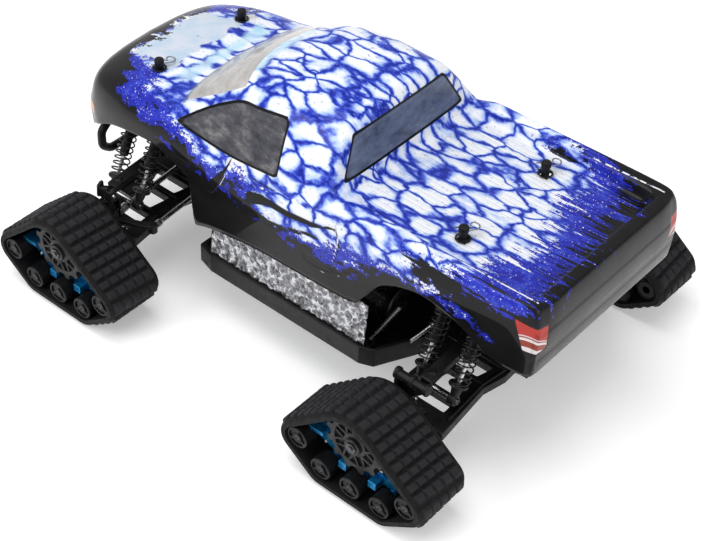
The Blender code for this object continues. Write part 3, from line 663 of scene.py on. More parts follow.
def eased(values, count):
    """Monotone cubic curves through an array's rows, with `count` steps between one row and the next."""
    gaps = np.diff(values, axis=0)
    slopes = np.zeros_like(values)
    product = gaps[1:] * gaps[:-1]
    rising = product > 0
    slopes[1:-1] = np.where(rising, 2 * product / (gaps[1:] + gaps[:-1] + 1e-12 * ~rising), 0)
    slopes[0], slopes[-1] = gaps[0], gaps[-1]
    t = (np.arange(count) / count).reshape(-1, *[1] * (values.ndim - 1))
    spans = []
    for i in range(len(gaps)):
        spans.append(
            (2 * t**3 - 3 * t**2 + 1) * values[i] + (t**3 - 2 * t**2 + t) * slopes[i]
            + (3 * t**2 - 2 * t**3) * values[i + 1] + (t**3 - t**2) * slopes[i + 1]
        )
    return np.concatenate([*spans, values[-1:]])


def shell_net():
    """The left half's outer skin as rows of points, from the middle line out to the hem."""
    rows = eased(np.array(SHELL_ROWS, float), ROW_STEPS)
    columns = np.swapaxes(rows, 0, 1)
    middle = eased(columns, MIDDLE_STEPS)[:MIDDLE_STEPS]
    edges = eased(columns, EDGE_STEPS)[EDGE_STEPS:]
    net = np.swapaxes(np.concatenate([middle, edges]), 0, 1)
    for _ in range(2):
        net[1:-1, 1:-1] += 0.25 * (
            0.5 * (net[:-2, 1:-1] + net[2:, 1:-1] + net[1:-1, :-2] + net[1:-1, 2:]) - 2 * net[1:-1, 1:-1]
        )
    return net


def along_line(value, *pairs):
    """Linear interpolation through (value, result) pairs, listed with the value rising."""
    return np.interp(value, [pair[0] for pair in pairs], [pair[1] for pair in pairs])


def inside_polygon(a, b, corners, soft=0.3):
    """Signed distance to a convex polygon listed anticlockwise, positive inside; soft rounds its corners."""
    total = np.zeros(a.shape)
    for (a0, b0), (a1, b1) in zip(corners, corners[1:] + corners[:1]):
        length = math.hypot(a1 - a0, b1 - b0)
        distance = ((a1 - a0) * (b - b0) - (b1 - b0) * (a - a0)) / length
        total += np.exp(-np.clip(distance, -100, 100) / soft)
    return -soft * np.log(total)


def stroke(a, b, path):
    """Signed distance to a brush stroke through (a, b, half width) points: positive inside it."""
    distance = np.full(a.shape, float(OUTSIDE))
    for (a0, b0, w0), (a1, b1, w1) in zip(path, path[1:]):
        run, rise = a1 - a0, b1 - b0
        t = np.clip(((a - a0) * run + (b - b0) * rise) / (run * run + rise * rise), 0, 1)
        gap = np.hypot(a - a0 - t * run, b - b0 - t * rise)
        distance = np.maximum(distance, w0 + (w1 - w0) * t - gap)
    return distance


BLACK_STROKES = (  # flame licks and a thorn on the doors: (x, z, half width)
    ((22, 126, 4.5), (13, 129, 3.6), (5, 130, 2.4), (-10, 130, 2.2), (-33, 133, 1.8), (-46, 138, 1.2),
     (-60, 143, 0.3)),
    ((24, 116, 4.0), (5, 115, 2.2), (-7, 117, 1.7), (-20, 121, 1.8), (-32, 125, 1.4), (-46, 124, 0.3)),
    ((26, 139.2, 0.2), (12, 138.6, 0.9), (-1, 140.6, 0.2)),
    ((-52, 143, 0.2), (-56.5, 128, 0.9), (-53, 108, 0.2)),
    ((-30, 104, 3.5), (-44, 103, 2.2), (-58, 108, 1.7), (-70, 116, 1.3), (-80, 127, 0.3)),
    ((44, 145, 0.2), (48, 134, 1.3), (53, 124, 2.8), (60, 114, 4.0)),
    ((72, 131, 0.3), (66, 124, 2.0), (64, 116, 3.5)),
    ((-104, 151, 0.3), (-120, 151, 1.5), (-135, 150, 3.0), (-150, 149, 4.5)),
)
WHITE_STROKES = (  # highlights scratched over the flames
    ((-55, 144, 0.2), (-55, 130, 0.8), (-51, 109, 0.2)),
    ((-43, 129, 0.2), (-58, 135.5, 0.7), (-68, 136, 0.2)),
    ((42, 144, 0.2), (45, 133, 0.6), (50, 121, 0.2)),
    ((24, 141, 0.3), (12, 140.5, 0.7), (1, 142, 0.2)),
    ((24, 137.5, 0.3), (12, 136.5, 0.6), (3, 138, 0.2)),
    ((-28, 100, 0.2), (-44, 99, 0.5), (-62, 105, 0.2)),
)


LAMP_FOOT = 127.5
HEM = ((-205, 106), (-177, 107), (-156, 120), (-126, 127.5), (-94, 117), (-79, 98), (-70, 88))  # (x, z)
NOSE_EDGE = (  # (y, x)
    (-85, 160), (-73, 170), (-53, 188), (-33, 188), (-12, 187), (14, 183), (32, 184), (54, 166), (73, 155),
    (85, 147),
)
TAIL_EDGE = (  # (y, x)
    (-78, -156), (-66, -168), (-50, -190), (-24, -176), (-5, -192), (30, -186), (54, -192), (78, -196),
)
SILL_EDGE = (  # (x, z)
    (-95, 128), (-84, 127), (-74, 119), (-64, 112), (-46, 110), (-35, 112), (-20, 111), (-10, 109), (8, 113),
    (27, 120), (36, 125), (50, 123), (63, 121), (79, 125), (100, 131), (114, 137), (130, 138), (146, 138),
    (160, 142), (185, 150),
)
ARCH_BAND = (  # (x, breadth)
    (-190, -6), (-182, 4), (-176, 11), (-166, 17), (-150, 18), (-139, 16), (-118, 12),
)
SILL_BLUE = ((-100, 9), (-40, 11), (0, 8), (25, 11), (60, 12), (110, 14), (160, 10))  # (x, breadth)
TAIL_BLUE = ((-78, 26), (-20, 30), (30, 26), (60, 42), (80, 54))  # (y, breadth)


def lowest(*distances):
    return np.minimum.reduce(np.broadcast_arrays(*distances))


def highest(*distances):
    return np.maximum.reduce(np.broadcast_arrays(*distances))


def glass_fields(x, z, out):
    side_corners = [(5, 149), (49, 144), (98, 146.5), (78, 162), (54, 175.5), (10, 183.5)]
    rear_corners = [(-30, 160.5), (61, 160.5), (46.5, 186.3), (-30, 187)]
    top_edge = 70 - 13 * (out / 50) ** 1.4
    low_edge = 113 - 9 * (out / 62) ** 2
    pillar = 50 + (x - 57) * 0.24 - out
    return {
        "side_glass": np.where(out > 49, 0, OUTSIDE) + inside_polygon(x, z, side_corners, 1.0),
        "rear_glass": np.where((x < -31) & (x > -46), 0, OUTSIDE) + inside_polygon(out, z, rear_corners, 0.9),
        "wind_glass": lowest(x - top_edge, low_edge - x, pillar),
        "cowl": lowest(1.3 - np.abs(x - low_edge - 0.6), 64 - out),
    }


def lamp_fields(x, z, out):
    """Tail lamps wrapped round the rear corners, and the nose's headlamps, amber lamps and grille."""
    around = (79 - out) - (x + 191)
    corner = np.where((x < -186) & (out > 60), 0, OUTSIDE)
    top = 150 - around * 0.13
    front_edge = np.clip((150 - z) * 0.38, 0, None)
    bent = 0.0011 * (around - 14) ** 2 - 0.08
    nose = np.where(x > 184, 0, OUTSIDE)
    return {
        "lamp": corner + lowest(around - front_edge, 30 - around, top - z, z - LAMP_FOOT),
        "lamp_height": np.clip((z - LAMP_FOOT) / (top - LAMP_FOOT) + bent, 0, 1),
        "headlamp": nose + inside_polygon(out, z, [(40, 109), (63, 107), (66, 119), (42, 120)]),
        "amber": nose + lowest(4.5 - np.abs(out - 67), 3.5 - np.abs(z - 108)),
        "grille": nose + lowest(34 - out, 11 - np.abs(z - 111)),
    }


def mark_fields(x, z, out):
    """Black licks and a duct on the flanks, the duct near-black as painted shade in its recess; pale
    scratches beside them; and a line along each bed rail, a painted highlight on its inner top edge.
    """
    # The duct on each front fender is painted near-black as the shade inside its recess.
    duct_shade = inside_polygon(x, z, [(80, 123), (95, 123), (99, 134), (84, 134)])
    licks = highest(*(stroke(x, z, path) for path in BLACK_STROKES))
    scratches = highest(*(stroke(x, z, path) for path in WHITE_STROKES))
    # Painted highlight: a thin pale line along the inner top edge of each bed rail.
    rail_highlight = 0.55 - np.abs(out - 70.6) - np.clip(np.abs(x + 172) - 30, 0, 60)
    return {
        "licks_and_duct_shade": np.where(out > 74, highest(duct_shade, licks), OUTSIDE),
        "scratch_and_rail_highlight": highest(np.where(out > 74, scratches, OUTSIDE), np.where(z > 157, rail_highlight, OUTSIDE)),
    }


def torn_fields(x, y, z, out):
    """Where black and blue are torn over the cells: the nose, the sills, the rear arches and the tail."""
    hem = along_line(x, *HEM)
    nose = x - along_line(y, *NOSE_EDGE)
    sill = np.where(out > 66, along_line(x, *SILL_EDGE) - z, OUTSIDE)
    above_arch = lowest(153 - z, z - hem - along_line(x, *ARCH_BAND), (-122 - x) * 0.6)
    above_arch = np.where(out > 66, above_arch, OUTSIDE)
    flare = np.where(out > 74, 9 - np.hypot((x + 56) * 0.8, z - 122), OUTSIDE)
    tail = np.where(z > 100, along_line(y, *TAIL_EDGE) - x, OUTSIDE)
    beside = np.clip((out - 32) / 14, 0, 1) * 30 - 5
    blue_tail = np.where(z > 146, tail + along_line(y, *TAIL_BLUE), OUTSIDE)
    blue = highest(nose + beside, sill + along_line(x, *SILL_BLUE), above_arch + 3, flare, blue_tail)
    return {
        "dark": np.clip(highest(nose, sill, above_arch, tail), -60, 60),
        "blue": np.clip(blue, -60, 60),
        "streaked": np.clip((-120 - x) / 50, 0, 1) * (z > 148),
    }


def livery_fields(x, y, z):
    """For each point of the shell, how far inside each painted area it lies, in millimetres.

    Some are plain levels instead: the lamp's height, the streaked part of the bed, the washes over the hood,
    and where the bed's ribs and the tailgate's bands are.
    """
    out = np.abs(y)
    behind_glass = lowest(x - 50, 88 - x, 40 - np.abs(y - 8))
    before_glass = lowest(x - 112, 140 - x, 52 - out)
    low_band = along_line(z, (110, 0), (112, 1), (118, 1), (120, 0))
    high_band = along_line(z, (124, 0), (126, 1), (140, 1), (142, 0))
    return {
        **glass_fields(x, z, out),
        **lamp_fields(x, z, out),
        **mark_fields(x, z, out),
        **torn_fields(x, y, z, out),
        "splash": np.clip(lowest(x - 132, 196 - x, 47 - out) / 16, -1, 1) * 0.62,
        "cyan": np.clip(highest(behind_glass, before_glass) / 12, -1, 1) * 0.6,
        "ribs": np.clip(lowest(-52 - x, x + 193, 61 - out, 154.5 - z) / 2, 0, 1),
        "bands": np.clip((-206.5 - x) / 1.5, 0, 1) * highest(low_band, high_band) * 1.2,
    }


def body_shell(paint, inside):
    half = shell_net()
    net = np.concatenate([half[:, :0:-1] * (1, -1, 1), half], axis=1)
    rows, columns = net.shape[:2]
    points = net.reshape(-1, 3)
    faces = []
    for r in range(rows - 1):
        for c in range(columns - 1):
            here = r * columns + c
            corners = (here, here + 1, here + columns + 1, here + columns)
            x, y, _ = points[list(corners)].mean(axis=0)
            if not any(math.hypot(x - px, abs(y) - py) < POST_HOLE for px, py, _ in POSTS.values()):
                faces.append(corners)
    mesh = bpy.data.meshes.new("painted_shell")
    mesh.from_pydata(points * MM, [], faces)
    for name, values in livery_fields(*points.T).items():
        layer = mesh.attributes.new(name, "FLOAT", "POINT")
        layer.data.foreach_set("value", values.astype(np.float32))
    mesh.materials.append(paint)
    mesh.materials.append(inside)
    mesh.shade_smooth()
    shell = bpy.data.objects.new("painted_shell", mesh)
    bpy.context.scene.collection.objects.link(shell)
    wall = shell.modifiers.new("wall", "SOLIDIFY")
    wall.thickness = WALL * MM
    wall.offset = -1.0
    wall.material_offset = 1
    wall.material_offset_rim = 1
    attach(shell, "shell")
    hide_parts("body_shell")


def shell_fittings(plastic):
    """A washer round each hole for a body post."""
    washer = ((0, 4.1), (0, 5.2), (0.3, 5.3), (0.55, 5.0), (0.55, 4.1), (0, 4.1))
    for end, (x, y, _) in POSTS.items():
        for word, side in SIDES.items():
            shape = turned(washer, (x, y, WASHER_Z[end]), UP, 32)
            piece(f"{end}_{word}_shell_washer", shape, plastic, "shell", side=side)


# ---------------------------------------------------------------- track units

BELT_ROWS = 34  # rows of blocks round a belt
ROW_SAMPLES = 12
BLOCKS_ACROSS = 5
BELT_THIN, BELT_THICK = 4.4, 6.66  # from the inner outline: bottom of the grooves, and top of the blocks
RIM_HEIGHT, RIM_WIDTH = 5.0, 3.1
OUTER_LINES, INNER_LINES = 81, 9  # lines of points across the belt's two faces
WHEEL_ROWS = ((115.6, 127.2), (148.0, 159.6))  # each is (inner face, outer face) in y
SPROCKET_DISCS = ((118.0, 127.6), (147.4, 152.4))
SPROCKET_SPOKES = 8
SPACERS = ((33, 24), (-33, 24), (14, 30), (-14, 30))  # (x from the unit's centre, z)
PLATE_FACES = (132.1, 144.1)  # where the roller bosses stand on the side plates


class Corner:
    """One corner of the truck: its place, and short calls that name, mirror and dress its pieces."""

    def __init__(self, end, word, looks):
        self.end, self.word, self.looks = end, word, looks
        self.name = f"{end}_{word}"
        self.side = SIDES[word]
        self.axle_x = AXLE_X[end]
        self.centre_x = self.axle_x + TRACK_SHIFT
        self.arm_x = self.axle_x + ARM_SHIFT[end]
        self.link_x = self.axle_x + LINK_SHIFT[end]

    def own(self, part):
        return f"{self.name}_{part}"

    def add(self, name, shapes, look, body, node=None, **details):
        """A piece. If it stands for one of the corner's CAD nodes, that node is hidden; the slot that goes
        with it, black plastic by default, is not used.
        """
        if node:
            details = {"stands_for": [self.own(node)], "slot": "black_plastic", **details}
        return piece(self.own(name), joined(*shapes), self.looks[look], body, side=self.side, **details)

    def dress(self, part, look, width):
        dress(self.own(part), self.looks[look], width)


def loop_line(circles, centre_x):
    """The convex outline round the circles as a dense closed line: (x, z, outward x, outward z)."""
    count = len(circles)
    hull = [circles[0], *reversed(circles[1:])]
    line = []
    for i in range(count):
        before, here, after = (hull[(i + k) % count] for k in (-1, 0, 1))
        begin = outer_tangent(before, here)
        end = outer_tangent(here, after)
        while end < begin:
            end += 2 * math.pi
        x, z, radius = here
        steps = max(2, int((end - begin) * radius / 0.5))
        for k in range(steps + 1):
            turn = begin + (end - begin) * k / steps
            out = (math.cos(turn), math.sin(turn))
            line.append((centre_x + x + radius * out[0], z + radius * out[1], *out))
    return np.array(line)


def outer_tangent(first, second):
    """The direction that points out of the straight run between two circles, listed anticlockwise."""
    (x0, z0, r0), (x1, z1, r1) = first, second
    length = math.hypot(x1 - x0, z1 - z0)
    heading = math.atan2(z1 - z0, x1 - x0)
    return heading - math.acos(max(-1.0, min(1.0, (r0 - r1) / length)))


def belt_line(centre_x, samples):
    """The belt's inner outline, sampled evenly along its length."""
    line = loop_line(BELT_CIRCLES, centre_x)
    line = np.concatenate([line, line[:1]])
    lengths = np.concatenate([[0], np.cumsum(np.hypot(*np.diff(line[:, :2], axis=0).T))])
    even = np.linspace(0, lengths[-1], samples, endpoint=False)
    return np.stack([np.interp(even, lengths, column) for column in line.T], axis=1)


def bump_profile(position, gap, soft):
    """A block's height, 0 to 1, across one pitch, with a groove of width `gap` centred on its ends."""
    edge = np.minimum(position, 1 - position)
    return np.clip((edge - gap / 2) / soft, 0, 1)


def tread(across, samples):
    """The belt's height at one place across it, 0 to 1, all the way round, and how much of that is block."""
    rim = RIM_WIDTH / (BELT_Y[1] - BELT_Y[0])
    lane = (across - rim) / ((1 - 2 * rim) / BLOCKS_ACROSS)
    if not 0 < lane < BLOCKS_ACROSS:
        drop = 1.4 * (1 - min(across, 1 - across) / rim) ** 2
        return np.full(samples, RIM_HEIGHT - drop), np.zeros(samples)
    turn = np.arange(samples) / ROW_SAMPLES
    along = bump_profile((turn + 0.35 * across) % 1.0, 0.10, 0.22)
    crown = along * (0.45 + 0.55 * bump_profile(lane % 1.0, 0.08, 0.10))
    crown = crown * crown * (3 - 2 * crown)
    return BELT_THIN + (BELT_THICK - BELT_THIN) * crown, crown


def belt(unit):
    """A moulded belt: rows of blocks outside, a raised band inside, and a plain rim on each edge."""
    samples = BELT_ROWS * ROW_SAMPLES
    line = belt_line(unit.centre_x, samples)
    points, tops = [], []

    def add_line(across, height, worn):
        y = BELT_Y[0] + (BELT_Y[1] - BELT_Y[0]) * across
        points.extend((x + nx * h, y, z + nz * h) for (x, z, nx, nz), h in zip(line, height))
        tops.extend(worn)

    for across in np.linspace(0, 1, OUTER_LINES):
        add_line(across, *tread(across, samples))
    for across in np.linspace(1, 0, INNER_LINES):
        lift = 0.25 + 0.3 * (abs(across - 0.5) < 0.2)
        add_line(across, [lift] * samples, [0.35] * samples)
    count = OUTER_LINES + INNER_LINES
    faces = []
    for k in range(count):
        for i in range(samples):
            j = (i + 1) % samples
            m = (k + 1) % count
            faces.append((k * samples + i, k * samples + j, m * samples + j, m * samples + i))
    made = unit.add("rubber_belt", [(points, faces)], "rubber", unit.own("track"), "track_belt",
                    slot="black_rubber", sharp=50)
    layer = made.data.attributes.new("tread_top", "FLOAT", "POINT")
    layer.data.foreach_set("value", np.array(tops, np.float32))


def spoke(x, z, angle, outline, low, high):
    """A flat bar between two y values, its (outward, sideways) outline turned about an axle."""
    turn = Matrix.Translation((x, 0, z)) @ Matrix.Rotation(angle, 4, "Y")
    return moved(prism([(b, a) for a, b in outline], low, high, "y"), turn)


def spoked_disc(x, z, low, high, hub=3.1, spokes=3, dish=1.2):
    """A road wheel between two y values: a rim, a hub, a web set back by the dish, and tapered spokes."""
    at, radius, depth = (x, low, z), ROLLER_RADIUS, high - low
    rim = ((0, radius - 1.6), (0, radius - 0.4), (0.4, radius), (depth - 0.4, radius),
           (depth, radius - 0.4), (depth, radius - 1.6), (0, radius - 1.6))
    middle = ((0, 0), (0, hub), (depth - 0.4, hub), (depth, hub - 0.5), (depth, 0))
    web = ((0, 0), (0, radius - 0.8), (depth - dish, radius - 0.8), (depth - dish, 0))
    parts = [turned(rim, at, OUTWARD, 40), turned(middle, at, OUTWARD, 24), turned(web, at, OUTWARD, 40)]
    outline = ((hub - 1, -1.3), (radius - 1, -0.8), (radius - 1, 0.8), (hub - 1, 1.3))
    for k in range(spokes):
        parts.append(spoke(x, z, 2 * math.pi * (k + 0.25) / spokes, outline, low + 0.3, high - 0.25))
    return joined(*parts)


def rollers(unit):
    """Five pairs of road wheels on their pins, each with two thin pale rings and a screw."""
    wheels, rings, caps, pins = [], [], [], []
    for x, z in ROLLER_PLACES:
        x += unit.centre_x
        wheels += [spoked_disc(x, z, low, high) for low, high in WHEEL_ROWS]
        for radius in (7.1, 3.2):
            profile = ((0, radius - 0.35), (0, radius + 0.35), (0.35, radius + 0.2), (0.35, radius - 0.2),
                       (0, radius - 0.35))
            rings.append(turned(profile, (x, 159.4, z), OUTWARD, 36))
        caps.append(screw((x, 159.1, z), OUTWARD, 2.2, 0.8))
        pins.append(rod((x, 127, z), (x, 148.2, z), 2.0))
    body = unit.own("track")
    unit.add("road_wheels", wheels, "plastic", body, "track_rollers")
    unit.add("wheel_rings", rings, "grey", body)
    unit.add("wheel_screws", caps, "dark", body)
    unit.add("wheel_pins", pins, "steel", body)


def toothed_ring(x, z, low, high, root=19.6, tip=23.2, inner=16.6, teeth=12):
    """A flat toothed ring in the x-z plane."""
    tooth = ((0, root), (0.12, root), (0.3, root + 0.4), (0.42, tip), (0.72, tip), (0.86, root + 0.4))
    outline, inside = [], []
    for i in range(teeth):
        for part, radius in tooth:
            turn = 2 * math.pi * (i + part) / teeth
            outline.append((x + radius * math.sin(turn), z + radius * math.cos(turn)))
            inside.append((x + inner * math.sin(turn), z + inner * math.cos(turn)))
    count = len(outline)
    points = [(a, y, b) for y in (low, high) for line in (outline, inside) for a, b in line]
    faces = []
    for i in range(count):
        j = (i + 1) % count
        faces.append((i, j, count + j, count + i))
        faces.append((2 * count + i, 3 * count + i, 3 * count + j, 2 * count + j))
        faces.append((i, 2 * count + i, 2 * count + j, j))
        faces.append((count + i, count + j, 3 * count + j, 3 * count + i))
    return points, faces


def sprocket(unit):
    """The drive sprocket: two toothed discs with slanting spokes, on a tube, held by a wheel nut."""
    x, z = unit.axle_x, AXLE_Z
    parts = [rod((x, 111.2, z), (x, 155, z), 6.4, 28)]
    for low, high in SPROCKET_DISCS:
        parts.append(toothed_ring(x, z, low, high))
        parts.append(ring((x, (low + high) / 2 - 0.5, z), OUTWARD, 6, 17, 0.9, 48))
        collar = ((0, 6), (0, 9.2), (high - low - 0.4, 9.2), (high - low, 8.6), (high - low, 6), (0, 6))
        parts.append(turned(collar, (x, low, z), OUTWARD, 36))
        for k in range(SPROCKET_SPOKES):
            for lean in (1, -1):
                outline = ((8.5, -0.8), (17.2, -0.8 + lean * 4.6), (17.2, 0.8 + lean * 4.6), (8.5, 0.8))
                angle = 2 * math.pi * k / SPROCKET_SPOKES
                parts.append(spoke(x, z, angle, outline, low + 0.5, high - 0.2 - 0.15 * lean))
    body = unit.own("sprocket")
    unit.add("drive_sprocket", parts, "grey", body, "sprocket")
    holder = turned(((0, 0), (0, 5.6), (0.8, 5.8), (1.0, 4.6), (1.0, 0)), (x, 152.6, z), OUTWARD, 32)
    unit.add("wheel_nut", [holder, nut((x, 153.4, z), OUTWARD, 4.2, 2.6)], "dark", body)


def frame_fittings(unit):
    """Blue spacers, bosses and braces on the side plates, with their screws."""
    centre_x = unit.centre_x
    braces, screws = [], []
    for x, z in SPACERS:
        braces.append(rod((centre_x + x, 134.4, z), (centre_x + x, 141.8, z), 2.3, 20))
        screws.append(screw((centre_x + x, 144.2, z), OUTWARD, 1.8, 1.1))
        screws.append(screw((centre_x + x, 132.0, z), -OUTWARD, 1.8, 1.1))
    boss = ((0, 2.6), (0, 4.3), (1.6, 4.3), (2.4, 3.6), (2.4, 2.6), (0, 2.6))
    inner_face, outer_face = PLATE_FACES
    for x, z in ROLLER_PLACES:
        braces.append(turned(boss, (centre_x + x, outer_face, z), OUTWARD, 24))
        braces.append(turned(boss, (centre_x + x, inner_face, z), -OUTWARD, 24))
    for sign in (1, -1):
        outer = sorted((centre_x + sign * 30, centre_x + sign * 43))
        inner = sorted((centre_x + sign * 9.2, centre_x + sign * 15.8))
        braces.append(block((outer[0], 134.4, 36.4), (outer[1], 151.5, 39.2)))
        braces.append(block((inner[0], 144.0, 18.5), (inner[1], 152.0, 24.6)))
    unit.add("frame_spacers", braces, "blue", unit.own("track"), slot="blue_anodised", bevel=0.35)
    unit.add("frame_screws", screws, "steel", unit.own("track"))


# ---------------------------------------------------------------- suspension and steering

SPRING_TOP, SPRING_FOOT = 15.3, 12.6  # each from its own end of the damper
SPRING_TURNS = 8.5
HUB_SCREWS = {"front": ((103.8, 74),), "rear": ((100.5, 57), (102.8, 74.5))}  # (y, z)
TOWER_SCREWS = ((10, 92), (24, 97), (52, 120), (61, 120))  # (y, z)


def spring_path(top, down, start, end, radius, turns):
    """A compression spring's centreline, its last turn at each end closed up."""
    _, across, other = axes_for(down)
    path = []
    steps = int(turns * 22)
    for i in range(steps + 1):
        t = i / steps
        turn = 2 * math.pi * turns * t
        closed = min(1.0, t * turns, (1 - t) * turns)
        lift = t + (1 - closed) * (0.5 / turns) * (1 if t > 0.5 else -1) * closed
        at = top + down * (start + (end - start) * lift)
        path.append(at + (across * math.cos(turn) + other * math.sin(turn)) * radius)
    return path


def damper_body(top, down):
    """Cap, adjusting collar, thread and nose in one turning, then the mounting eye and its neck."""
    cap = ((3, 0), (3, 3.2), (4.2, 4.2), (5.5, 4.8), (10.5, 4.8), (11, 4.4), (11, 3.5))
    collar = ((12, 3.5), (12, 6.2), (12.4, 6.6), (14.4, 6.6), (14.8, 6.2), (14.8, 3.5))
    threads = [(15.2 + 0.5 * k, 3.35 + 0.25 * (k % 2)) for k in range(32)]
    nose = ((32, 3.5), (36.9, 3.5), (37.5, 3.0), (37.5, 1.8), (34, 1.8), (34, 0))
    return [
        turned((*cap, *collar, *threads, *nose), top, down, 28),
        turned(((-4, 0), (-4, 4.0), (4, 4.0), (4, 0)), top, FORWARD, 22),
        rod(top, top + down * 5, 3.0),
    ]


def spring_seat(eye, down):
    plate = ((0, 1.5), (0, 6.4), (1.1, 6.8), (1.8, 6.4), (2.4, 4.2), (6.5, 3.4), (9, 3.0), (9, 0), (0, 0))
    lower_eye = ((-3, 0), (-3, 3.4), (-2.4, 4.0), (2.4, 4.0), (3, 3.4), (3, 0))
    return [turned(plate, eye - down * 12, down, 28), turned(lower_eye, eye, FORWARD, 22)]


def shocks(unit):
    """Two oil-filled shock absorbers side by side, each inside its coil spring."""
    down = (Vector((0, *SHOCK_EYE)) - Vector((0, *SHOCK_TOP))).normalized()
    spring_end = math.dist(SHOCK_TOP, SHOCK_EYE) - SPRING_FOOT
    places = sorted(unit.axle_x + offset for offset in SHOCK_OFFSETS[unit.end])
    upper_pin, lower_pin = (
        rod((places[0] - 3, *mount), (places[1] + 3, *mount), 2.0) for mount in (SHOCK_TOP, SHOCK_EYE)
    )
    bodies, rods, seats, springs, eye_screws, cap_screws = [upper_pin], [lower_pin], [], [], [], []
    for x in places:
        top, eye = Vector((x, *SHOCK_TOP)), Vector((x, *SHOCK_EYE))
        bodies += damper_body(top, down)
        rods.append(rod(top + down * 24.6, eye - down * 8, 1.5))
        seats += spring_seat(eye, down)
        springs.append(tube(spring_path(top, down, SPRING_TOP, spring_end, 5.9, SPRING_TURNS), 0.58, 8))
        for sign in (-1, 1):
            eye_screws.append(screw(eye + FORWARD * sign * 3.2, FORWARD * sign, 2.3, 1.4))
            cap_screws.append(screw(top + FORWARD * sign * 4.2, FORWARD * sign, 2.4, 1.5))
    unit.add("damper_bodies", bodies, "plastic", unit.own("shock_bodies"), "shock_bodies")
    unit.add("damper_rods", rods, "steel", unit.own("shock_rods"), "shock_rods", slot="dark_metal")
    unit.add("spring_seats", seats, "plastic", unit.own("shock_rods"))
    unit.add("damper_screws", eye_screws, "dark", unit.own("shock_rods"))
    unit.add("damper_cap_screws", cap_screws, "dark", unit.own("shock_bodies"))
    coils = unit.add("springs", springs, "wire", None)
    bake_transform(coils)


def suspension(unit):
    """Hinge pins, their clips and the screws of one corner's arms and hub."""
    axle_x, arm_x, link_x = unit.axle_x, unit.arm_x, unit.link_x
    inner = [
        rod((arm_x - 30, *LOWER_INNER), (arm_x + 30, *LOWER_INNER), 1.5),
        rod((link_x - 17.5, *UPPER_INNER), (link_x + 17.5, *UPPER_INNER), 1.5),
    ]
    clips = [ring((arm_x + sign * 28.8, *LOWER_INNER), FORWARD * sign, 1.3, 2.8, 0.7, 20) for sign in (1, -1)]
    unit.add("inner_hinge_pins", inner, "steel", "chassis")
    unit.add("hinge_clips", clips, "dark", "chassis")
    outer = [rod((axle_x - 13.4, *LOWER_OUTER), (axle_x + 13.4, *LOWER_OUTER), 1.5)]
    outer += [screw((axle_x + sign * 12, *LOWER_OUTER), FORWARD * sign, 2.4, 1.6) for sign in (1, -1)]
    for y, z in HUB_SCREWS[unit.end]:
        outer += [screw((axle_x + sign * 7.5, y, z), FORWARD * sign, 1.7) for sign in (1, -1)]
    unit.add("hub_screws", outer, "steel", unit.own("hub"))
    cup = ((-3.4, 0), (-3.4, 2.2), (-1.8, 3.4), (0, 3.7), (1.8, 3.4), (3.0, 2.4), (3.0, 1.4), (2.2, 1.2),
           (2.2, 0))
    unit.add("link_cup", [turned(cup, (link_x, 91, 75.8), (0.3, 0, 1), 24)], "plastic", unit.own("upper_arm"))


def steering(unit):
    """A front knuckle's kingpin bolts, and the cup at the end of its tie rod."""
    bolts = [screw((unit.axle_x, KINGPIN_Y, z), UP * sign, 2.6, 1.2) for z, sign in ((67.1, 1), (40.1, -1))]
    unit.add("kingpin_bolts", bolts, "steel", unit.own("knuckle"))
    cup = ((-4, 0), (-4, 2.8), (-3.4, 3.4), (3.4, 3.4), (4, 2.8), (4, 0))
    at = (STEER_X, TIE_OUTER[0] - 1.6, TIE_OUTER[1])
    unit.add("tie_rod_end", [turned(cup, at, UP, 24)], "plastic", f"tie_rod_{unit.word}")


def cheeks(outline, middle, inner, outer):
    """The outline as two plates across the x axis, at the same distance on either side of the middle."""
    spans = ((-outer, -inner), (inner, outer))
    return [prism(outline, middle + low, middle + high, "x") for low, high in spans]


def turned_out(profile, x):
    """A profile of (y, radius) points turned about the axle's line."""
    start = profile[0][0]
    return turned([(y - start, radius) for y, radius in profile], (x, start, AXLE_Z), OUTWARD, 32)


def caster_casting(unit):
    """A front C-shaped carrier: two ribbed cheeks joined by webs and by a ring that the half shaft passes."""
    x = unit.axle_x
    cheek = ((97.2, 35.5), (106.2, 35.5), (106.8, 39.2), (98.8, 39.4), (98.8, 67.9), (106.8, 68.2),
             (106.2, 77.5), (103.4, 79.6), (101, 79.6), (101, 70.6), (97.4, 69), (97.2, 60))
    foot = ((97.4, 36), (105.6, 36), (105.6, 39.2), (98.6, 39.4), (98.6, 42), (97.4, 42))
    head = ((97.4, 57), (98.6, 57), (98.6, 68), (106, 68.3), (106, 77), (101.6, 77), (101.6, 70.4),
            (97.6, 68.8))
    parts = cheeks(cheek, x, 5.2, 7.5)
    parts += [prism(outline, x - 5.5, x + 5.5, "x") for outline in (foot, head)]
    parts.append(ring((x, 97.3, AXLE_Z), OUTWARD, 6.5, 7.6, 1.4, 32))
    for sign in (1, -1):
        parts.append(rod((x + sign * 8, *LOWER_OUTER), (x + sign * 12, *LOWER_OUTER), 3.4, 24, 0.8))
    parts.append(turned(((0, 0), (0, 2.6), (1.4, 2.4), (1.8, 1.8), (1.8, 0)), (x, 103.8, 76.8), UP, 28))
    unit.add("caster_casting", parts, "plastic", unit.own("hub"), "caster_block", bevel=0.5)


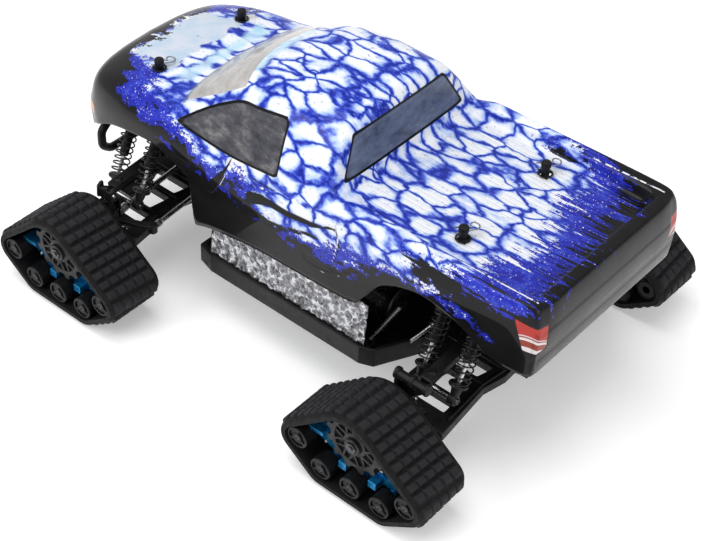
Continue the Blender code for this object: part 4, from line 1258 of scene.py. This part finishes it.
def knuckle_casting(unit):
    """A steering knuckle: a bearing boss between two ribs, a lug at each kingpin, and its steering arm."""
    x = unit.axle_x
    rib = ((101.8, 40.6), (106.2, 40.6), (110, 43.4), (110, 55.6), (106.2, 66.6), (101.8, 66.6))
    boss = ((101.6, 4.0), (101.6, 6.2), (104, 7.4), (108.4, 8.6), (110.3, 7.8), (110.3, 4.0), (101.6, 4.0))
    arm = ((x - 3, 105.2), (x - 3, 109.6), (STEER_X - 1, 97.6), (STEER_X - 3.6, 94.2), (STEER_X, 91.8),
           (STEER_X + 4.2, 94.2))
    parts = [*cheeks(rib, x, 3.4, 5.2), turned_out(boss, x)]
    for low, high in ((40.3, 44), (60, 66.9)):
        parts.append(rod((x, KINGPIN_Y, low), (x, KINGPIN_Y, high), 4.0, 24))
    parts.append(prism(arm, 52.5, 55.8))
    unit.add("knuckle_casting", parts, "plastic", unit.own("knuckle"), "knuckle", bevel=0.5)


def hub_casting(unit):
    """A rear hub carrier: a ribbed upright round the axle's bearing, with a bar at its foot and its head."""
    x = unit.axle_x
    upright = ((98, 38), (103, 38), (109.6, 42), (109.6, 55), (105, 60), (104.6, 78), (101.4, 78), (99, 62),
               (97, 55))
    web = ((100, 38), (103, 38), (106, 44), (106, 55), (102, 60), (102, 76), (100.5, 76), (100.5, 60),
           (99, 50))
    bearing = ((97.6, 4.2), (97.6, 8.6), (99, 9.4), (108.4, 9.4), (110.2, 8.2), (110.2, 4.2), (97.6, 4.2))
    parts = [*cheeks(upright, x, 4.5, 7.5), prism(web, x - 5, x + 5, "x"), turned_out(bearing, x)]
    parts.append(rod((x - 12, *LOWER_OUTER), (x + 12, *LOWER_OUTER), 3.6, 24, 0.8))
    parts.append(rod((x - 20, 104, 74.5), (x + 6.5, 104, 74.5), 3.2, 24, 0.8))
    for eye in (-19, -7, 5.5):
        parts.append(rod((x + eye - 1.5, 103.6, 74.5), (x + eye + 1.5, 103.6, 74.5), 4.4, 24, 0.6))
    parts.append(rod((x - 18, 103.5, 73), (x - 6, 103, 62), 1.9, 16))
    unit.add("hub_casting", parts, "plastic", unit.own("hub"), "hub_carrier", bevel=0.5)


def arm_ribs(unit):
    """Raised rails and cross ribs on a lower arm."""
    slope = (LOWER_OUTER[1] - LOWER_INNER[1]) / (LOWER_OUTER[0] - LOWER_INNER[0])

    def top(x, y):
        return (unit.arm_x + x, y, LOWER_INNER[1] + slope * (y - LOWER_INNER[0]) + 3.5)

    rail_highlight = ((24.5, 34), (20.5, 54), (21.5, 92))
    cross_ribs = ((34, 24), (53.2, 20), (74.2, 20.5))  # (y, half length)
    parts = [tube([top(sign * x, y) for x, y in rail_highlight], 1.3) for sign in (1, -1)]
    parts += [tube([top(-half, y), top(half, y)], 1.1) for y, half in cross_ribs]
    unit.add("arm_ribs", parts, "plastic", unit.own("lower_arm"))


def build_corner(end, word, looks):
    unit = Corner(end, word, looks)
    belt(unit)
    rollers(unit)
    sprocket(unit)
    unit.dress("track_frame", "blue", 0.35)
    frame_fittings(unit)
    shocks(unit)
    suspension(unit)
    if end == "front":
        steering(unit)
        caster_casting(unit)
        knuckle_casting(unit)
    else:
        hub_casting(unit)
    for part in ("lower_arm", "upper_arm"):
        unit.dress(part, "plastic", 0.9)
    arm_ribs(unit)
    unit.dress("half_shaft", "steel", 0.3)


def tower_fittings(end, looks):
    """Each tower's screws, and the knobs at the ends of its body posts."""
    plate_x = AXLE_X[end] + sum(SHOCK_OFFSETS[end]) / 2
    post_x, post_y, post_top = POSTS[end]
    knob = ((0, 3.0), (1.5, 3.5), (4.2, 3.5), (4.9, 3.0), (5.2, 1.6), (5.2, 0), (-3, 0), (-3, 3.0), (0, 3.0))
    heads, knobs, wires = [], [], []
    for sign in (1, -1):
        for face in (1, -1):
            for y, z in TOWER_SCREWS:
                heads.append(screw((plate_x + face * 2.5, sign * y, z), FORWARD * face, 1.9))
        knobs.append(turned(knob, (post_x, sign * post_y, post_top - 4.2), UP, 24))
        wires.append(body_clip(post_x, sign * post_y, post_top - 3.6))
    piece(f"{end}_tower_screws", joined(*heads), looks["steel"], "chassis")
    piece(f"{end}_post_knobs", joined(*knobs), looks["plastic"], "chassis")
    piece(f"{end}_body_clips", joined(*wires), looks["clip"], "shell")


def body_clip(x, y, z, heading=-118, tilt=4):
    """A sprung wire clip through a body post, lying nearly flat: a straight leg, a ring, and a wavy leg."""
    flat = [(-6, 0, 0), (6.5, 0, 0)]
    for k in range(13):
        turn = -math.pi / 2 + math.pi * 1.7 * k / 12
        flat.append((9.5 + 3.1 * math.cos(turn), 3.1 + 3.1 * math.sin(turn), 0.1 * k))
    flat += [(4.0, 3.0, 1.0), (1.5, 4.4, 0.8), (-1.5, 3.9, 0.8), (-5, 5.0, 0.8)]
    place = Matrix.Translation((x, y, z)) @ Matrix.Rotation(math.radians(heading), 4, "Z")
    place = place @ Matrix.Rotation(math.radians(tilt), 4, "Y")
    return tube([place @ Vector(point) for point in flat], 0.5, 10)


# ---------------------------------------------------------------- chassis

LINER_START, LINER_LENGTH = -80, 142
LINER_FOOT, LINER_HEIGHT = 53.6, 34.2
LINER_STEPS = (120, 26)
LINER_FOIL = 0.3


def liner_point(x, z, side):
    """A point of the left strip's crumpled face; the side only shifts the finer folds."""
    fold = 0.7 * math.sin(0.61 * x + 0.33 * z + 2 * math.sin(0.23 * z)) * math.sin(0.19 * x - 0.47 * z)
    fold += 0.35 * math.sin(1.7 * x + side) * math.sin(1.3 * z + 0.4 * x)
    lean = 83.3 - 3.0 * (z - 53.4) / 34.6
    return (x, lean + fold, z)


def liners(film):
    """A strip of crinkled foil on each side, between the tub's wall and the shell's hem."""
    along, up = LINER_STEPS
    for word, side in SIDES.items():
        points, faces = [], []
        for i in range(along + 1):
            for k in range(up + 1):
                x = LINER_START + LINER_LENGTH * i / along
                points.append(liner_point(x, LINER_FOOT + LINER_HEIGHT * k / up, side))
        for i in range(along):
            for k in range(up):
                here = i * (up + 1) + k
                faces.append((here, here + 1, here + up + 2, here + up + 1))
        made = piece(f"{word}_foil_liner", (points, faces), film, "chassis", stands_for=[f"{word}_liner"],
                     slot="silver_film", side=side, sharp=60)
        made.modifiers.new("wall", "SOLIDIFY").thickness = LINER_FOIL * MM


def bumper(looks):
    """The loop of round bar ahead of the chassis, on two stays and a foot."""
    left = [(52, 57.5), (60, 64), (60, 77), (52, 83.5)]
    corners = [(197, y, z) for y, z in left] + [(197, -y, z) for y, z in reversed(left)]
    parts = [tube(rounded(corners, 3.4), 3.3, 18, closed=True)]
    parts += [rod((179, sign * 14, 44.2), (196.5, sign * 14, 57.3), 3.0, 18) for sign in (1, -1)]
    parts.append(block((170, -18, 41.3), (180.5, 18, 46)))
    piece("bumper_loop", joined(*parts), looks["plastic"], "chassis", stands_for=["front_bumper"],
          slot="black_plastic", bevel=0.5)
    heads = [screw((175, sign * y, 46), UP, 2.2) for sign in (1, -1) for y in (6, 15)]
    piece("bumper_screws", joined(*heads), looks["steel"], "chassis")


def fittings(looks):
    """What shows in the bays: link rods, cyan hardware, straps, the motor's cap and screws."""
    links = (rod((-75, 70, 46), (-86, 52, 72), 1.6), rod((-96, 60, 47), (-112, 44, 70), 1.4))
    link_rings = (ring(at, (0, 0.6, 1), 1.9, 3.6, 2.4, 28) for at in ((-86, 51, 74), (-76, 71, 44.5)))
    collars = [rod((-119, sign * 47, 86), (-119, sign * 52, 86), 2.6, 20) for sign in (1, -1)]
    straps = [block((x, -72.4, 65.6), (x + 9, -27.6, 66.9)) for x in (-46, 24)]
    piece("rear_link_rod", joined(*links), looks["steel"], "chassis")
    piece("rear_link_rings", joined(*link_rings), looks["plastic"], "chassis")
    piece("rear_anodised_collars", joined(*collars), looks["cyan"], "chassis", bevel=0.4)
    piece("battery_straps", joined(*straps), looks["plastic"], "chassis", bevel=0.3)
    leads(looks)
    cap = turned(((0, 0), (0, 17.0), (1, 18.0), (6, 18.0), (6.5, 17.2), (6.5, 0)), (-79, 40, 60), FORWARD, 40)
    piece("motor_end_cap", cap, looks["dark"], "chassis")
    heads = [screw((x, sign * 12, 41), UP, 2.0) for x in (-160, -150, 160) for sign in (1, -1)]
    heads += [screw((AXLE_X[end] + step, sign * 11, 86.2), UP, 2.0)
              for end in AXLE_X for step in (-9, 9) for sign in (1, -1)]
    piece("chassis_screws", joined(*heads), looks["steel"], "chassis")


def leads(looks):
    """The battery's two leads to the speed control, and the motor's three."""
    for k, (name, look) in enumerate((("battery_lead", "red_wire"), ("ground_lead", "plastic"))):
        lift = 2.4 * k
        path = ((60, -40 + 4 * k, 62), (70, -30 + 4 * k, 63 + lift), (68, -4 + 2 * k, 66 + lift),
                (62, 18, 64 + lift), (54, 32 + 3 * k, 62))
        piece(name, tube(smooth_path(path), 1.3), looks[look], "chassis")
    motor_leads = []
    for k in range(3):
        path = ((-26, 40, 70 + 2 * k), (-14, 44 + 2 * k, 70 + 2 * k), (0, 46 + 3 * k, 66),
                (10, 38 + 5 * k, 61))
        motor_leads.append(tube(smooth_path(path), 1.2))
    piece("motor_leads", joined(*motor_leads), looks["cyan"], "chassis")


def smooth_path(points, steps=10):
    """A Catmull-Rom curve through the points."""
    points = [Vector(point) for point in points]
    padded = [points[0] * 2 - points[1], *points, points[-1] * 2 - points[-2]]
    path = []
    for i in range(1, len(padded) - 2):
        a, b, c, d = padded[i - 1 : i + 3]
        for k in range(steps):
            t = k / steps
            path.append(0.5 * (2 * b + (c - a) * t + (2 * a - 5 * b + 4 * c - d) * t * t
                               + (3 * b - a - 3 * c + d) * t**3))
    return path + [points[-1]]


# ---------------------------------------------------------------- stage, light and camera

FLOOR_HALF = 6000
SURROUND = 0.56
LIGHTS = (  # name, place, target, size (all in metres), power, colour
    ("overhead", (0.1, 0.25, 1.9), (0, 0, 0.1), (1.6, 1.2), 19, (1.0, 0.99, 0.98)),
    ("window_left", (0.9, 1.5, 1.3), (0, 0, 0.08), (1.1, 0.9), 15, (0.97, 0.985, 1.0)),
    ("rear_fill", (-1.6, 0.3, 0.7), (0, 0, 0.1), (0.9, 0.6), 5, (1.0, 1.0, 1.0)),
)
CAMERA_PLACE = (-0.5923, 0.7301, 0.8624)
CAMERA_YAW, CAMERA_PITCH, CAMERA_ROLL = -50.8745, 41.9428, 2.2201
CAMERA_LENS = 88.38


def stage():
    corners = [(x * FLOOR_HALF, y * FLOOR_HALF, 0) for x, y in ((-1, -1), (1, -1), (1, 1), (-1, 1))]
    floor = piece("floor", (corners, [(0, 1, 2, 3)]), studio_floor(), None)


def area_light(name, place, target, size, power, colour):
    light = bpy.data.lights.new(name, "AREA")
    light.shape = "RECTANGLE"
    light.size, light.size_y = size
    light.energy = power
    light.color = colour
    made = bpy.data.objects.new(name, light)
    made.location = place
    made.rotation_euler = (Vector(target) - Vector(place)).to_track_quat("-Z", "Y").to_euler()
    bpy.context.scene.collection.objects.link(made)


def lighting():
    """A bright white room: soft light from overhead and from the picture's left, and a pale surround."""
    world = bpy.data.worlds.new("white_room")
    bpy.context.scene.world = world
    world.use_nodes = True
    background = world.node_tree.nodes["Background"]
    background.inputs["Color"].default_value = (1.0, 1.0, 1.0, 1.0)
    background.inputs["Strength"].default_value = SURROUND
    for settings in LIGHTS:
        area_light(*settings)


def camera():
    data = bpy.data.cameras.new("camera")
    data.sensor_width = 36
    data.lens = CAMERA_LENS
    data.clip_start = 0.05
    made = bpy.data.objects.new("camera", data)
    yaw, pitch, roll = (math.radians(angle) for angle in (CAMERA_YAW, CAMERA_PITCH, CAMERA_ROLL))
    look = Vector((math.cos(pitch) * math.cos(yaw), math.cos(pitch) * math.sin(yaw), -math.sin(pitch)))
    level = look.cross(UP).normalized()
    top = level.cross(look)
    right = level * math.cos(roll) + top * math.sin(roll)
    above = top * math.cos(roll) - level * math.sin(roll)
    turn = Matrix((right, above, -look)).transposed().to_4x4()
    made.matrix_world = Matrix.Translation(CAMERA_PLACE) @ turn
    bpy.context.scene.collection.objects.link(made)
    bpy.context.scene.camera = made


def finishes():
    return {
        "plastic": moulded_plastic(),
        "rubber": tread_rubber(),
        "blue": anodised("blue_anodised", (0.015, 0.30, 0.62), (0.008, 0.17, 0.42)),
        "cyan": anodised("cyan_anodised", (0.05, 0.42, 0.62), (0.02, 0.22, 0.40)),
        "steel": steel("bright_steel", (0.62, 0.62, 0.63), 0.18, 0.34),
        "grey": moulded_plastic("grey_plastic", 3.5),
        "clip": steel("clip_wire", (0.34, 0.34, 0.35), 0.25, 0.4),
        "dark": steel("dark_metal", (0.10, 0.10, 0.11), 0.28, 0.42),
        "wire": steel("spring_wire", (0.045, 0.045, 0.05), 0.25, 0.4),
        "red_wire": wrap("red_lead", (0.55, 0.02, 0.02), (0.40, 0.01, 0.01)),
    }


def main():
    looks = finishes()
    body_shell(shell_paint(), shell_inside())
    shell_fittings(looks["plastic"])
    for end in AXLE_X:
        for word in SIDES:
            build_corner(end, word, looks)
        tower_fittings(end, looks)
        dress(f"{end}_shock_tower", looks["plastic"], 0.7)
        dress(f"{end}_gearbox", looks["plastic"], 1.0)
    liners(crinkled_film())
    bumper(looks)
    fittings(looks)
    dress("battery_pack", wrap("battery_wrap", (0.04, 0.10, 0.42), (0.02, 0.05, 0.26)), 2.0)
    for node, look, width in (
        ("chassis_tub", "plastic", 0.8), ("motor", "steel", 0.6), ("speed_control", "plastic", 1.0),
        ("steering_servo", "plastic", 0.8), ("centre_shaft", "steel", 0.3),
        ("steering_plate", "plastic", 0.5), ("tie_rod_left", "steel", 0.3), ("tie_rod_right", "steel", 0.3),
    ):
        dress(node, looks[look], width)
    stage()
    lighting()
    camera()
    bpy.context.scene.view_settings.view_transform = "Standard"


main()
